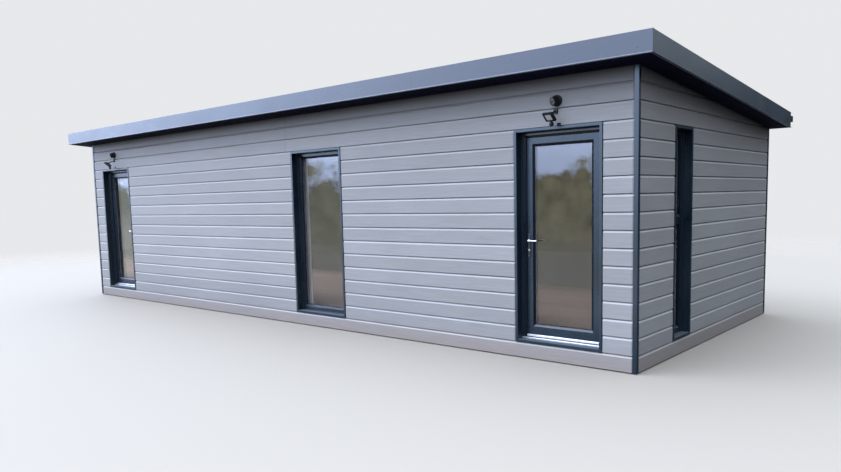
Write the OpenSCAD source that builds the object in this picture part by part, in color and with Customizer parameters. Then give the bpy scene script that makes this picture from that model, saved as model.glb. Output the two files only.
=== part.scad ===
// Garden office pod: a long single-storey building with grooved board cladding, two glazed
// doors, a full-height window, two slit windows and a roof that falls to a gutter at the back.
// Millimetres, Z up. The origin is on the ground, in the middle of the cladding's outline, and
// the front faces -Y.

/* [Body] */
// Length over the cladding
body_l = 10560; // [8600:10:12800]
// Depth over the cladding
body_d = 4080; // [3200:10:5000]
// Height of the soffit where it meets the front wall
front_h = 2772; // [2600:1:3400]
// Fall of the roof towards the back, in degrees
roof_pitch = 4.4; // [2:0.1:5.5]
// Thickness of the insulated walls behind the cladding
wall_t = 200; // [120:5:260]
// Thickness of the floor boards
floor_t = 18; // [12:1:28]

/* [Cladding] */
// Height of one board course, joint to joint
board_pitch = 165; // [125:1:185]
// Thickness of a board
clad_t = 20; // [16:1:30]
// Height of the groove between two courses
groove_w = 8; // [4:1:14]
// Depth of the groove
groove_d = 10; // [6:1:14]
// Height of the sloping top edge of a board
bevel_h = 17; // [8:1:26]
// How far that edge leans back
bevel_d = 6; // [2:1:9]
// Gap between the lowest board and the ground
ground_gap = 12; // [5:1:40]

/* [Trims] */
// Width of a corner trim on each face
corner_w = 40; // [35:1:90]
// How far the trims stand proud of the boards
trim_proud = 3; // [1:0.5:8]
// Width of the flange round an opening
flange_w = 28; // [20:1:60]
// Thickness of the sheet that lines a reveal
liner_t = 3; // [2:0.5:6]
// Depth of a reveal, from the boards' face to the frame
reveal_d = 95; // [60:1:110]

/* [Openings] */
// Courses below an opening
sill_courses = 1; // [1:1:2]
// Courses that an opening is high
opening_courses = 13; // [10:1:14]
// Width of a door or of the window, over its trim
opening_w = 960; // [800:5:1160]
// Distance from a corner to the nearest door's trim
door_inset = 345; // [330:5:600]
// Place of the window's middle, along the front
window_x = 940; // [-1200:10:1200]
// Width of a slit window, over its trim
slit_w = 470; // [390:5:600]
// Distance from the front to the middle of a slit window
slit_inset = 1100; // [800:10:1500]
// Height of the middle of a slit window's transom
transom_z = 1370; // [1100:10:1600]

/* [Frames] */
// Depth of the door and window frames
frame_d = 75; // [70:1:90]
// Width of frame that is hidden behind the reveal's lining
frame_hide = 10; // [5:1:20]
// Visible width of a door frame
door_face = 52; // [40:1:60]
// Visible width of a window frame, with its bead
window_face = 64; // [50:1:90]
// Thickness of a glazing unit
glass_t = 24; // [20:1:28]
// Cover of the beads over the glass
glass_cover = 12; // [8:1:14]
// Width of a bead's sloping face
bead_w = 20; // [8:1:24]
// Step between a frame's face and its bead
bead_step = 2; // [1:0.5:4]
// Depth of the bead's edge at the glass
bead_foot = 13; // [5:1:14]
// Room round the edge of a glazing unit
glass_slack = 3; // [2:0.5:5]
// Width of the bevel on the inner edge of a frame
inner_bevel = 10; // [4:1:14]

/* [Doors] */
// Width of a stile or rail of the leaf
stile_w = 96; // [85:1:120]
// Thickness of the leaf's frame
leaf_t = 55; // [50:1:60]
// Thickness of the frame's stop in front of the leaf
stop_t = 14; // [10:1:20]
// Width of the bevel on the stop's edge
stop_bevel = 12; // [6:1:16]
// Depth of that bevel
stop_bevel_d = 10; // [4:1:12]
// Overlap of the stop over the leaf
stop_cover = 12; // [8:1:16]
// Gap between the leaf's face and the stop
seal_gap = 6; // [5.5:0.5:8]
// Gap between the leaf's edges and the frame
edge_gap = 8; // [8:0.5:10]
// Height of the threshold's upper ridge above the base
threshold_h = 45; // [45:1:70]
// Gap between the threshold and the leaf
threshold_gap = 8; // [6:1:12]
// Height of the threshold's outer nose
nose_h = 16; // [16:1:34]
// Depth of that nose
nose_d = 20; // [12:1:30]
// Drop from the threshold's ridge to its inner sill
sill_drop = 12; // [8:1:20]
// Depth of the ridge behind the stop's line
ridge_d = 8; // [5:1:12]

/* [Door hinges] */
// Radius of a knuckle
knuckle_r = 8; // [7:0.5:9]
// Length of half a knuckle
knuckle_l = 45; // [35:1:60]
// Radius of the hinge pin
hinge_pin_r = 4; // [3:0.5:5]
// Thickness of a hinge plate
hinge_plate_t = 3; // [2:0.5:4]
// Width of a hinge plate
hinge_plate_w = 24; // [18:1:30]
// Gap between the two knuckles of a hinge
knuckle_gap = 0.5; // [0.3:0.1:1]
// Length of the pin inside the lower knuckle
pin_root = 10; // [6:1:20]
// Distance from the leaf's ends to its outer hinges
hinge_inset = 220; // [150:10:400]

/* [Door furniture] */
// Height of the lever above the ground
lever_z = 1200; // [1000:10:1300]
// Distance from the leaf's edge to the spindle
backset = 37; // [32:1:45]
// Height of the back plate
plate_h = 240; // [200:5:260]
// Width of the back plate
plate_w = 30; // [26:1:36]
// Thickness of the back plate
plate_t = 9; // [6:1:12]
// Height of the plate above the spindle
plate_top = 68; // [45:1:80]
// Distance from the spindle down to the lock cylinder
lock_drop = 98; // [72:1:100]
// Radius of the lock cylinder
lock_r = 8.5; // [7:0.5:9]
// How far the lock cylinder stands out of the plates
lock_out = 4; // [2:0.5:6]
// Radius of the spindle
spindle_r = 6; // [5:0.5:8]
// Radius of the lever's neck and grip
grip_r = 9; // [7:0.5:11]
// Length of the grip from the spindle
grip_l = 118; // [100:1:140]
// Distance from the back plate to the middle of the grip
grip_out = 42; // [35:1:60]
// Clearance of turning parts in their holes
pin_clear = 0.1; // [0.05:0.05:0.3]

/* [Roof] */
// Overhang at the front
over_front = 310; // [120:5:500]
// Overhang at the ends
over_end = 250; // [120:5:500]
// Gap between the corner trims and the back fascia
back_gap = 2; // [1:1:150]
// Thickness of the insulated roof panel, measured upright
deck_t = 150; // [100:5:220]
// Thickness of the roof sheet
sheet_t = 5; // [3:1:12]
// Thickness of the soffit boards
soffit_t = 12; // [8:1:20]
// Gap between the roof panel and what it rests on
roof_seat = 0.1; // [0.05:0.05:1]
// Height of a fascia
fascia_h = 195; // [185:5:280]
// Thickness of a fascia
fascia_t = 20; // [12:1:30]
// How far a fascia reaches below the soffit
fascia_drop = 2; // [2:1:20]
// Height and projection of the drip lip along a fascia's foot
lip = 9; // [5:1:14]

/* [Rainwater] */
// Width of the gutter
gutter_w = 110; // [90:5:150]
// Depth of the gutter
gutter_h = 75; // [60:5:110]
// Thickness of the gutter's wall
gutter_t = 3; // [2:0.5:5]
// Number of gutter brackets
bracket_n = 12; // [6:1:16]
// Width of a gutter bracket
bracket_w = 24; // [15:1:40]
// Distance from the roof panel's top edge down to the gutter's rim
gutter_drop = 12; // [8:1:30]
// Radius of the downpipe
pipe_r = 34; // [30:1:50]
// Distance from the right corner to the downpipe
pipe_inset = 250; // [150:10:600]
// How much thicker the pipe's sockets and clips are than the pipe
socket_t = 4; // [4:0.5:6]
// Height of the shoe's bend above the ground
shoe_z = 150; // [130:5:300]
// Length of a downpipe clip
clip_l = 25; // [20:1:40]

/* [Lights and cameras] */
// Height of the floodlights' wall boxes above the ground
flood_z = 2450; // [2400:5:2470]
// Width of a floodlight's head
flood_w = 110; // [90:1:180]
// Height of a floodlight's head
flood_h = 104; // [80:1:140]
// Thickness of a floodlight's head
flood_t = 26; // [18:1:40]
// Tilt of a floodlight's head towards the ground
flood_tilt = 45; // [20:1:60]
// Distance from the boards to the middle of the head
flood_out = 115; // [90:5:140]
// Drop from the wall box's middle to the middle of the head
head_drop = 52; // [30:1:60]
// Width of the head's bezel
bezel_w = 14; // [8:1:18]
// Radius of the arm between the wall box and the head
arm_r = 7; // [5:0.5:9]
// Size of a floodlight's wall box, along the wall
flood_box = 46; // [40:1:80]
// Depth of that box
flood_box_d = 14; // [10:1:30]
// Radius of the motion sensor
sensor_r = 21; // [15:1:26]
// Drop from the head's lower edge to the middle of the sensor
sensor_drop = 35; // [35:1:55]
// Distance from a floodlight's middle to the middle of its cable box, along the wall
cable_box_x = 33; // [20:1:45]
// Size of a cable box, along the wall
cable_box_w = 36; // [24:1:44]
// Height of a cable box
cable_box_h = 24; // [16:1:30]
// Depth of a cable box
cable_box_d = 12; // [8:1:16]
// Distance from a door's middle to its camera's middle
camera_x = 12; // [-40:2:40]
// Height of the cameras above the ground
camera_z = 2545; // [2520:5:2600]
// Radius of a camera's base
camera_r = 54; // [35:1:60]
// Thickness of a camera's base
camera_base_t = 22; // [15:1:35]
// Radius of a camera's ball
camera_ball_r = 38; // [30:1:45]
// Radius of the ring round the lens
lens_r = 27; // [20:1:30]
// Distance from the boards to the middle of a camera's ball
camera_out = 27; // [24:1:40]
// How far a camera looks down
camera_tilt = 15; // [0:1:40]
// How far a camera looks towards the left end
camera_turn = 25; // [0:1:40]

/* [Hidden] */
$fn = 48;
far = 20000;

// Faces of the cladding
front_y = -body_d / 2;
back_y = body_d / 2;
right_x = body_l / 2;

// Openings: height over the trim, the frame behind it, and the wall's base
open_z0 = sill_courses * board_pitch;
open_z1 = open_z0 + opening_courses * board_pitch;
base_h = open_z0 + flange_w - liner_t;
frame_z1 = open_z1 - flange_w + frame_hide;
frame_h = frame_z1 - base_h;
frame_w = opening_w - 2 * flange_w + 2 * frame_hide;
slit_frame_w = slit_w - 2 * flange_w + 2 * frame_hide;
door_x = right_x - door_inset - opening_w / 2;
slit_y = front_y + slit_inset;
frame_y1 = reveal_d + frame_d;
window_bar = frame_hide + window_face;
glass_y = reveal_d + (frame_d - glass_t) / 2;

// Door leaf, in the door's own frame: X along the wall, Y inwards from the boards' face
stop_w = frame_hide + door_face;
jamb_w = stop_w - stop_cover - edge_gap;
leaf_w = frame_w - 2 * (jamb_w + edge_gap);
leaf_z0 = base_h + threshold_h + threshold_gap;
leaf_z1 = frame_z1 - jamb_w - edge_gap;
leaf_h = leaf_z1 - leaf_z0;
leaf_y0 = reveal_d + stop_t + seal_gap;
leaf_y1 = leaf_y0 + leaf_t;
leaf_glass_y = leaf_y0 + (leaf_t - glass_t) / 2;
hinge_x = leaf_w / 2 + edge_gap / 2;
hinge_y = max(leaf_y1, frame_y1) + knuckle_r + 1;
frame_plate = hinge_y - knuckle_r + hinge_plate_t - 1 - frame_y1;
leaf_plate = hinge_y - knuckle_r + hinge_plate_t - 1 - leaf_y1;
hinge_zs = [leaf_z0 + hinge_inset, (leaf_z0 + leaf_z1) / 2, leaf_z1 - hinge_inset];
spindle_x = -leaf_w / 2 + backset;
lock_z = lever_z - lock_drop;

// Roof: height of the underside of the roof panel at a given Y
fall = tan(roof_pitch);
function under_z(y) = front_h + soffit_t - (y - front_y) * fall;
eaves_y0 = front_y - over_front;
eaves_y1 = back_y + trim_proud + back_gap + fascia_t;
end_x = right_x + over_end;
gutter_top = under_z(eaves_y1) + deck_t - gutter_drop;
gutter_y = eaves_y1 + gutter_w / 2;

// Extrudes a Y-Z outline along X, centred
module along_x(len) {
  rotate([90, 0, 90]) linear_extrude(len, center = true) children();
}

// Everything below the underside of the roof panel
module below_roof() {
  along_x(far) polygon([
    [-body_d, -far], [body_d, -far],
    [body_d, under_z(body_d) - roof_seat], [-body_d, under_z(-body_d) - roof_seat]
  ]);
}

// One bar of a frame: an outline of face width against depth, mitred at its ends
module mitred_bar(len, face) {
  intersection() {
    along_x(len) mirror([1, 0]) rotate(90) children();
    rotate([90, 0, 0]) linear_extrude(far, center = true) polygon([
      [-len / 2, 0], [len / 2, 0], [len / 2 - face, face], [-len / 2 + face, face]
    ]);
  }
}

// A frame of four mitred bars with one outline, centred on X and standing on Z = 0; the
// outline's first number runs inwards from the outer edge, its second into the wall
module mitred_ring(w, h, face) {
  mitred_bar(w, face) children();
  translate([0, 0, h]) mirror([0, 0, 1]) mitred_bar(w, face) children();
  for (side = [-1, 1])
    translate([side * w / 2, 0, h / 2]) rotate([0, -side * 90, 0]) mitred_bar(h, face) children();
}

// Insulated wall panel between two X values, up to the roof
module wall_panel(x0, x1, y0, y1, z0) {
  intersection() {
    translate([x0, y0, z0]) cube([x1 - x0, y1 - y0, far / 2]);
    below_roof();
  }
}

wall_x = right_x - clad_t;
wall_y = back_y - clad_t;

module front_panel(x0, x1) {
  color("whitesmoke") translate([x0, -wall_y, base_h]) cube([x1 - x0, wall_t, frame_h]);
}

module base_frame() {
  color("dimgray") translate([-wall_x, -wall_y, 0]) cube([2 * wall_x, 2 * wall_y, base_h]);
}

module floor_boards() {
  inner_x = wall_x - wall_t;
  inner_y = wall_y - wall_t;
  color("tan") translate([0, 0, base_h]) {
    translate([-inner_x, -inner_y, 0]) cube([2 * inner_x, 2 * inner_y, floor_t]);
    for (x = [-door_x, window_x, door_x])
      translate([x - frame_w / 2, front_y + frame_y1, 0])
        cube([frame_w, clad_t + wall_t - frame_y1 + 1, floor_t]);
  }
}

module front_left_pier() { front_panel(-wall_x, -door_x - frame_w / 2); }
module front_left_panel() { front_panel(-door_x + frame_w / 2, window_x - frame_w / 2); }
module front_right_panel() { front_panel(window_x + frame_w / 2, door_x - frame_w / 2); }
module front_right_pier() { front_panel(door_x + frame_w / 2, wall_x); }

module front_header() {
  color("whitesmoke") wall_panel(-wall_x, wall_x, -wall_y, -wall_y + wall_t, frame_z1);
}

module back_wall() {
  color("whitesmoke") wall_panel(-wall_x, wall_x, wall_y - wall_t, wall_y, base_h);
}

// End wall with its slit window cut through
module end_wall() {
  color("whitesmoke") difference() {
    wall_panel(wall_x - wall_t, wall_x, -wall_y + wall_t, wall_y - wall_t, base_h);
    translate([wall_x - wall_t - 1, slit_y - slit_frame_w / 2, base_h - 1])
      cube([wall_t + 2, slit_frame_w, frame_h + 1]);
  }
}

module right_wall() { end_wall(); }
module left_wall() { mirror([1, 0, 0]) end_wall(); }

// Outline of a stack of boards: each has a sloping top edge under the groove above it
module board_stack() {
  courses = ceil(2 * front_h / board_pitch);
  top = courses * board_pitch;
  polygon(concat(
    [[clad_t, top], [clad_t, ground_gap], [0, ground_gap]],
    [for (n = [1 : courses - 1], z = [n * board_pitch]) each [
      [0, z - groove_w / 2 - bevel_h], [bevel_d, z - groove_w / 2], [groove_d, z - groove_w / 2],
      [groove_d, z + groove_w / 2], [0, z + groove_w / 2]
    ]],
    [[0, top]]
  ));
}

// Cladding of one wall: openings is a list of [middle, width]
module cladding(len, openings) {
  difference() {
    along_x(len) board_stack();
    for (o = openings)
      translate([o[0] - o[1] / 2, -1, open_z0]) cube([o[1], clad_t + 2, open_z1 - open_z0]);
  }
}

module front_cladding() {
  color([0.66, 0.68, 0.73]) intersection() {
    translate([0, front_y, 0]) cladding(
      body_l - 2 * corner_w, [for (x = [-door_x, window_x, door_x]) [x, opening_w]]
    );
    below_roof();
  }
}

module back_cladding() {
  color([0.66, 0.68, 0.73]) intersection() {
    translate([0, back_y, 0]) rotate(180) cladding(body_l - 2 * corner_w, []);
    below_roof();
  }
}

module right_cladding() {
  color([0.66, 0.68, 0.73]) intersection() {
    translate([right_x, 0, 0]) rotate(90) cladding(body_d - 2 * corner_w, [[slit_y, slit_w]]);
    below_roof();
  }
}

module left_cladding() { mirror([1, 0, 0]) right_cladding(); }

// Four L-shaped trims that close the boards' ends at the corners
module corner_trims() {
  leg = corner_w + trim_proud;
  thick = clad_t + trim_proud;
  color([0.2, 0.22, 0.25]) intersection() {
    for (sx = [0, 1], sy = [0, 1]) mirror([sx, 0, 0]) mirror([0, sy, 0])
      translate([right_x + trim_proud, back_y + trim_proud, ground_gap])
        linear_extrude(2 * front_h) difference() {
          translate([-leg, -leg]) square(leg);
          translate([-leg - 1, -leg - 1]) square(leg + 1 - thick);
        }
    below_roof();
  }
}

// Flange and lining round one opening, mitred at the corners
module opening_trim(w) {
  color([0.2, 0.22, 0.25]) translate([0, 0, open_z0])
    mitred_ring(w, open_z1 - open_z0, flange_w) polygon([
      [0, -trim_proud], [flange_w, -trim_proud], [flange_w, reveal_d],
      [flange_w - liner_t, reveal_d], [flange_w - liner_t, clad_t], [0, clad_t]
    ]);
}

// Places a piece of a front opening, drawn in the opening's own frame
module at_front(x) { translate([x, front_y, 0]) children(); }
module at_right_slit() { translate([right_x, slit_y, 0]) rotate(90) children(); }

module right_door_trim() { at_front(door_x) opening_trim(opening_w); }
module left_door_trim() { at_front(-door_x) opening_trim(opening_w); }
module window_trim() { at_front(window_x) opening_trim(opening_w); }

module slit_trims() {
  for (side = [0, 1]) mirror([side, 0, 0]) at_right_slit() opening_trim(slit_w);
}

// Outline of a glazed bar: a sloping bead in front, a groove for the glass behind it
module glazed_outline(face, depth) {
  y0 = (depth - glass_t) / 2;
  groove = glass_cover + glass_slack;
  polygon([
    [0, 0], [face - bead_w, 0], [face - bead_w, bead_step], [face, bead_foot], [face, y0],
    [face - groove, y0], [face - groove, y0 + glass_t], [face, y0 + glass_t],
    [face, depth - inner_bevel / 2], [face - inner_bevel, depth], [0, depth]
  ]);
}

module pane(w, h) {
  translate([-w / 2, 0, 0]) cube([w, glass_t, h]);
}

module window_frame() {
  color([0.2, 0.22, 0.25]) at_front(window_x) translate([0, reveal_d, base_h])
    mitred_ring(frame_w, frame_h, window_bar) glazed_outline(window_bar, frame_d);
}

module window_glass() {
  edge = window_bar - glass_cover;
  color([0.6, 0.7, 0.75, 0.4]) at_front(window_x) translate([0, glass_y, base_h + edge])
    pane(frame_w - 2 * edge, frame_h - 2 * edge);
}

// Transom: the glazed outline twice, back to back
module transom() {
  half = window_bar - 1.5 * frame_hide;
  len = slit_frame_w - 2 * window_bar;
  translate([0, reveal_d, transom_z]) for (side = [0, 1]) mirror([0, 0, side])
    along_x(len + 2) mirror([1, 0]) rotate(90) glazed_outline(half, frame_d);
}

module slit_frame() {
  translate([0, reveal_d, base_h])
    mitred_ring(slit_frame_w, frame_h, window_bar) glazed_outline(window_bar, frame_d);
  transom();
}

module slit_frames() {
  color([0.2, 0.22, 0.25]) for (side = [0, 1]) mirror([side, 0, 0]) at_right_slit() slit_frame();
}

module slit_glass() {
  edge = window_bar - glass_cover;
  bar = window_bar - 1.5 * frame_hide - glass_cover;
  w = slit_frame_w - 2 * edge;
  z0 = base_h + edge;
  z1 = frame_z1 - edge;
  color([0.6, 0.7, 0.75, 0.4]) for (side = [0, 1]) mirror([side, 0, 0]) at_right_slit()
    translate([0, glass_y, 0]) {
      translate([0, 0, z0]) pane(w, transom_z - bar - z0);
      translate([0, 0, transom_z + bar]) pane(w, z1 - transom_z - bar);
    }
}

// Door frame: two jambs and a head, each with a stop in front of the leaf
module stop_outline() {
  polygon([
    [0, 0], [stop_w - stop_bevel, 0], [stop_w, stop_bevel_d], [stop_w, stop_t],
    [jamb_w, stop_t], [jamb_w, frame_d], [0, frame_d]
  ]);
}

// Three hinges: the frame carries the lower knuckle and the pin, the leaf the upper knuckle
module frame_hinges() {
  for (z = hinge_zs) translate([hinge_x, hinge_y, z - knuckle_gap]) {
    translate([0, 0, -knuckle_l]) cylinder(r = knuckle_r, h = knuckle_l);
    translate([0, 0, -pin_root]) cylinder(r = hinge_pin_r, h = knuckle_l + pin_root);
    translate([0, frame_y1 - hinge_y, -knuckle_l])
      cube([hinge_plate_w + edge_gap / 2, frame_plate, knuckle_l]);
  }
}

module leaf_hinges() {
  for (z = hinge_zs) translate([hinge_x, hinge_y, z + knuckle_gap]) difference() {
    union() {
      cylinder(r = knuckle_r, h = knuckle_l);
      translate([-edge_gap / 2 - hinge_plate_w, leaf_y1 - hinge_y, 0])
        cube([hinge_plate_w + edge_gap / 2, leaf_plate, knuckle_l]);
    }
    translate([0, 0, -1]) cylinder(r = hinge_pin_r + pin_clear, h = knuckle_l + 2);
  }
}

module door_frame() {
  color([0.2, 0.22, 0.25]) {
    intersection() {
      translate([0, reveal_d, base_h - stop_w])
        mitred_ring(frame_w, frame_h + stop_w, stop_w) stop_outline();
      translate([-far / 2, -far / 2, base_h]) cube(far);
    }
    frame_hinges();
  }
}

module right_door_frame() { at_front(door_x) door_frame(); }
module left_door_frame() { mirror([1, 0, 0]) right_door_frame(); }

// Threshold: a low nose on the reveal's lining, a ridge in front of the leaf and an inner sill,
// each an outline of depth against height that runs the width between its ends
module threshold() {
  nose_top = nose_h + liner_t;
  ridge_y1 = stop_t + ridge_d;
  sill_h = threshold_h - sill_drop;
  translate([0, reveal_d, base_h]) {
    along_x(opening_w - 2 * flange_w - 2 * liner_t) polygon([
      [-nose_d + 6, liner_t], [-nose_d + 6, nose_top / 2], [-nose_d, nose_top / 2 + 2],
      [-nose_d, nose_top - 3], [-nose_d + 3, nose_top], [0, nose_top], [0, liner_t]
    ]);
    along_x(frame_w - 2 * stop_w) polygon([
      [0, 0], [0, nose_top + 1], [4, nose_top + 1], [4, nose_top + 5], [0, nose_top + 5],
      [0, threshold_h - 4], [4, threshold_h], [ridge_y1, threshold_h], [ridge_y1, 0]
    ]);
    along_x(frame_w - 2 * jamb_w) polygon([
      [stop_t, 0], [stop_t, sill_h], [frame_d - 5, sill_h], [frame_d, sill_h - 5], [frame_d, 0]
    ]);
  }
}

module thresholds() {
  color("silver") for (x = [-door_x, door_x]) at_front(x) threshold();
}

// Leaf: mitred stiles and rails, with holes for the spindle and the lock cylinder
module door_leaf() {
  color([0.2, 0.22, 0.25]) {
    difference() {
      translate([0, leaf_y0, leaf_z0])
        mitred_ring(leaf_w, leaf_h, stile_w) glazed_outline(stile_w, leaf_t);
      through_leaf(lever_z, spindle_r + 1, 1);
      through_leaf(lock_z, lock_r, 1);
    }
    leaf_hinges();
  }
}

module right_door_leaf() { at_front(door_x) door_leaf(); }
module left_door_leaf() { mirror([1, 0, 0]) right_door_leaf(); }

module door_glass() {
  edge = stile_w - glass_cover;
  color([0.6, 0.7, 0.75, 0.4]) translate([0, leaf_glass_y, leaf_z0 + edge])
    pane(leaf_w - 2 * edge, leaf_h - 2 * edge);
}

module right_door_glass() { at_front(door_x) door_glass(); }
module left_door_glass() { mirror([1, 0, 0]) right_door_glass(); }

// A cylinder along Y through a door's leaf
module through_leaf(z, r, out) {
  translate([spindle_x, leaf_y0 - out, z]) rotate([-90, 0, 0])
    cylinder(r = r, h = leaf_t + 2 * out);
}

// Two back plates with round ends, joined by the lock cylinder
module door_plates() {
  round_r = plate_w / 2;
  top = lever_z + plate_top;
  color([0.15, 0.16, 0.18]) difference() {
    union() {
      for (y = [leaf_y0 - plate_t, leaf_y1]) translate([spindle_x, y, top])
        rotate([-90, 0, 0]) linear_extrude(plate_t) {
          translate([-round_r, round_r]) square([plate_w, plate_h - plate_w]);
          for (down = [round_r, plate_h - round_r]) translate([0, down]) circle(r = round_r);
        }
      through_leaf(lock_z, lock_r, plate_t + lock_out);
    }
    through_leaf(lever_z, spindle_r + pin_clear, plate_t + 1);
  }
}

module right_door_plates() { at_front(door_x) door_plates(); }
module left_door_plates() { mirror([1, 0, 0]) right_door_plates(); }

// Lever: one spindle through the leaf with a neck and a round-ended grip on each side
module door_lever() {
  neck = grip_out - 1;
  out = plate_t + grip_out;
  color("gainsboro") {
    through_leaf(lever_z, spindle_r, out);
    for (y = [leaf_y0 - out, leaf_y1 + out - neck]) translate([spindle_x, y, lever_z])
      rotate([-90, 0, 0]) cylinder(r = grip_r, h = neck);
    for (y = [leaf_y0 - out, leaf_y1 + out]) translate([spindle_x, y, lever_z]) {
      rotate([0, 90, 0]) cylinder(r = grip_r, h = grip_l - grip_r);
      for (x = [0, grip_l - grip_r]) translate([x, 0, 0]) sphere(r = grip_r);
    }
  }
}

module right_door_lever() { at_front(door_x) door_lever(); }
module left_door_lever() { mirror([1, 0, 0]) right_door_lever(); }

// Roof panel, falling from front to back
module sloped_slab(y0, y1, x_half, up, t) {
  along_x(2 * x_half) polygon([
    [y0, under_z(y0) + up], [y1, under_z(y1) + up],
    [y1, under_z(y1) + up + t], [y0, under_z(y0) + up + t]
  ]);
}

module roof_deck() {
  color("whitesmoke")
    sloped_slab(eaves_y0 + fascia_t, eaves_y1 - fascia_t, end_x - fascia_t, 0, deck_t);
}

module roof_sheet() {
  color([0.16, 0.17, 0.18])
    sloped_slab(eaves_y0 + fascia_t, eaves_y1 - fascia_t, end_x - fascia_t, deck_t, sheet_t);
}

module soffit() {
  color([0.07, 0.07, 0.08]) difference() {
    sloped_slab(
      eaves_y0 + fascia_t, eaves_y1 - fascia_t, end_x - fascia_t, -soffit_t, soffit_t - roof_seat
    );
    translate([-right_x - trim_proud, front_y - trim_proud, 0])
      cube([body_l + 2 * trim_proud, body_d + 2 * trim_proud, far / 2]);
  }
}

// Fascias: a board with a drip lip along its foot
module front_fascia() {
  foot = under_z(eaves_y0) - soffit_t - fascia_drop;
  color([0.3, 0.33, 0.38]) along_x(2 * end_x) polygon([
    [eaves_y0 - lip, foot], [eaves_y0 + fascia_t, foot], [eaves_y0 + fascia_t, foot + fascia_h],
    [eaves_y0, foot + fascia_h], [eaves_y0, foot + lip + 3], [eaves_y0 - lip, foot + lip]
  ]);
}

module end_fascia() {
  low = -soffit_t - fascia_drop;
  y0 = eaves_y0 + fascia_t;
  translate([end_x - fascia_t / 2, 0, 0]) sloped_slab(y0, eaves_y1, fascia_t / 2, low, fascia_h);
  translate([end_x + lip / 2 - 0.5, 0, 0]) sloped_slab(y0, eaves_y1, lip / 2 + 0.5, low, lip);
}

module end_fascias() {
  color([0.25, 0.27, 0.31]) for (side = [0, 1]) mirror([side, 0, 0]) end_fascia();
}

module back_fascia() {
  low = -soffit_t - fascia_drop;
  color([0.25, 0.27, 0.31]) sloped_slab(
    eaves_y1 - fascia_t, eaves_y1, end_x - fascia_t, low, deck_t + sheet_t - low
  );
}

// Square gutter with stop ends, brackets and an outlet, hung on the back fascia
module gutter() {
  len = 2 * end_x;
  z0 = gutter_top - gutter_h;
  pipe_x = right_x - pipe_inset;
  color([0.08, 0.08, 0.09]) difference() {
    union() {
      translate([-end_x, eaves_y1, z0]) cube([len, gutter_w, gutter_h]);
      for (n = [0 : bracket_n - 1])
        translate([-end_x + (n + 0.5) * len / bracket_n - bracket_w / 2, eaves_y1, z0 - gutter_t])
          cube([bracket_w, gutter_w + gutter_t, gutter_h]);
      translate([pipe_x, gutter_y, z0 - clip_l]) cylinder(r = pipe_r + socket_t, h = clip_l + 1);
    }
    translate([-end_x + gutter_t, eaves_y1 + gutter_t, z0 + gutter_t])
      cube([len - 2 * gutter_t, gutter_w - 2 * gutter_t, gutter_h]);
    translate([pipe_x, gutter_y, z0 - clip_l - 1])
      cylinder(r = pipe_r + pin_clear, h = clip_l + gutter_h);
  }
}

// A straight stretch of pipe between two points of the Y-Z plane
module pipe_run(a, b) {
  d = b - a;
  translate([0, a[0], a[1]]) rotate([atan2(-d[0], d[1]), 0, 0]) cylinder(r = pipe_r, h = norm(d));
}

// Downpipe: straight down from the gutter's outlet, with a socket, clips and a shoe at its foot
module downpipe() {
  outlet = [gutter_y, gutter_top - gutter_h];
  foot = [gutter_y, shoe_z];
  spout = foot + 2.5 * pipe_r * [sin(45), -cos(45)];
  path = [outlet, foot, spout];
  color([0.08, 0.08, 0.09]) translate([right_x - pipe_inset, 0, 0]) {
    for (n = [1 : len(path) - 1]) pipe_run(path[n - 1], path[n]);
    translate([0, foot[0], foot[1]]) sphere(r = pipe_r + socket_t);
    for (part = [0.12, 0.5, 0.88]) translate([0, 0, foot[1] + part * (outlet[1] - foot[1])]) {
      translate([0, gutter_y, 0]) cylinder(r = pipe_r + socket_t, h = clip_l);
      translate([-socket_t * 5, back_y, 0])
        cube([socket_t * 10, gutter_y - pipe_r - back_y + 1, clip_l]);
    }
  }
}

// Floodlight: wall box, sloping arm and a head with cooling fins, tilted so that its lens looks
// down and outwards, with a motion sensor hung from its lower edge, and a cable box above the trim
module floodlight_head() {
  rim = flood_t / 8;
  fins = 7;
  pitch = (flood_w - 2 * bezel_w) / fins;
  difference() {
    cube([flood_w, flood_t, flood_h], center = true);
    translate([0, -flood_t / 2, 0])
      cube([flood_w - 2 * bezel_w, 2 * rim, flood_h - 2 * bezel_w], center = true);
    for (n = [0 : fins - 1]) if (n != (fins - 1) / 2)
      translate([(n - (fins - 1) / 2) * pitch, flood_t / 2, 0])
        cube([pitch / 2, flood_t / 2, flood_h + 2], center = true);
  }
}

module floodlight() {
  edge = flood_h / 2 - bezel_w / 2;
  arm_d = flood_out - flood_box_d / 2;
  color([0.06, 0.06, 0.07]) {
    translate([-flood_box / 2, -flood_box_d, flood_z - flood_box / 2])
      cube([flood_box, flood_box_d, flood_box]);
    translate([0, -flood_out, flood_z - head_drop]) {
      rotate([-atan2(arm_d, head_drop), 0, 0])
        cylinder(r = arm_r, h = sqrt(arm_d * arm_d + head_drop * head_drop));
      rotate([flood_tilt, 0, 0]) floodlight_head();
      translate([0, edge * sin(flood_tilt), -edge * cos(flood_tilt) - sensor_drop]) {
        sphere(r = sensor_r);
        cylinder(r = sensor_r / 3, h = sensor_drop);
      }
    }
    translate([cable_box_x - cable_box_w / 2, -cable_box_d, open_z1 + trim_proud])
      cube([cable_box_w, cable_box_d, cable_box_h]);
  }
}

module floodlights() {
  for (x = [-door_x, door_x]) at_front(x) floodlight();
}

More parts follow.
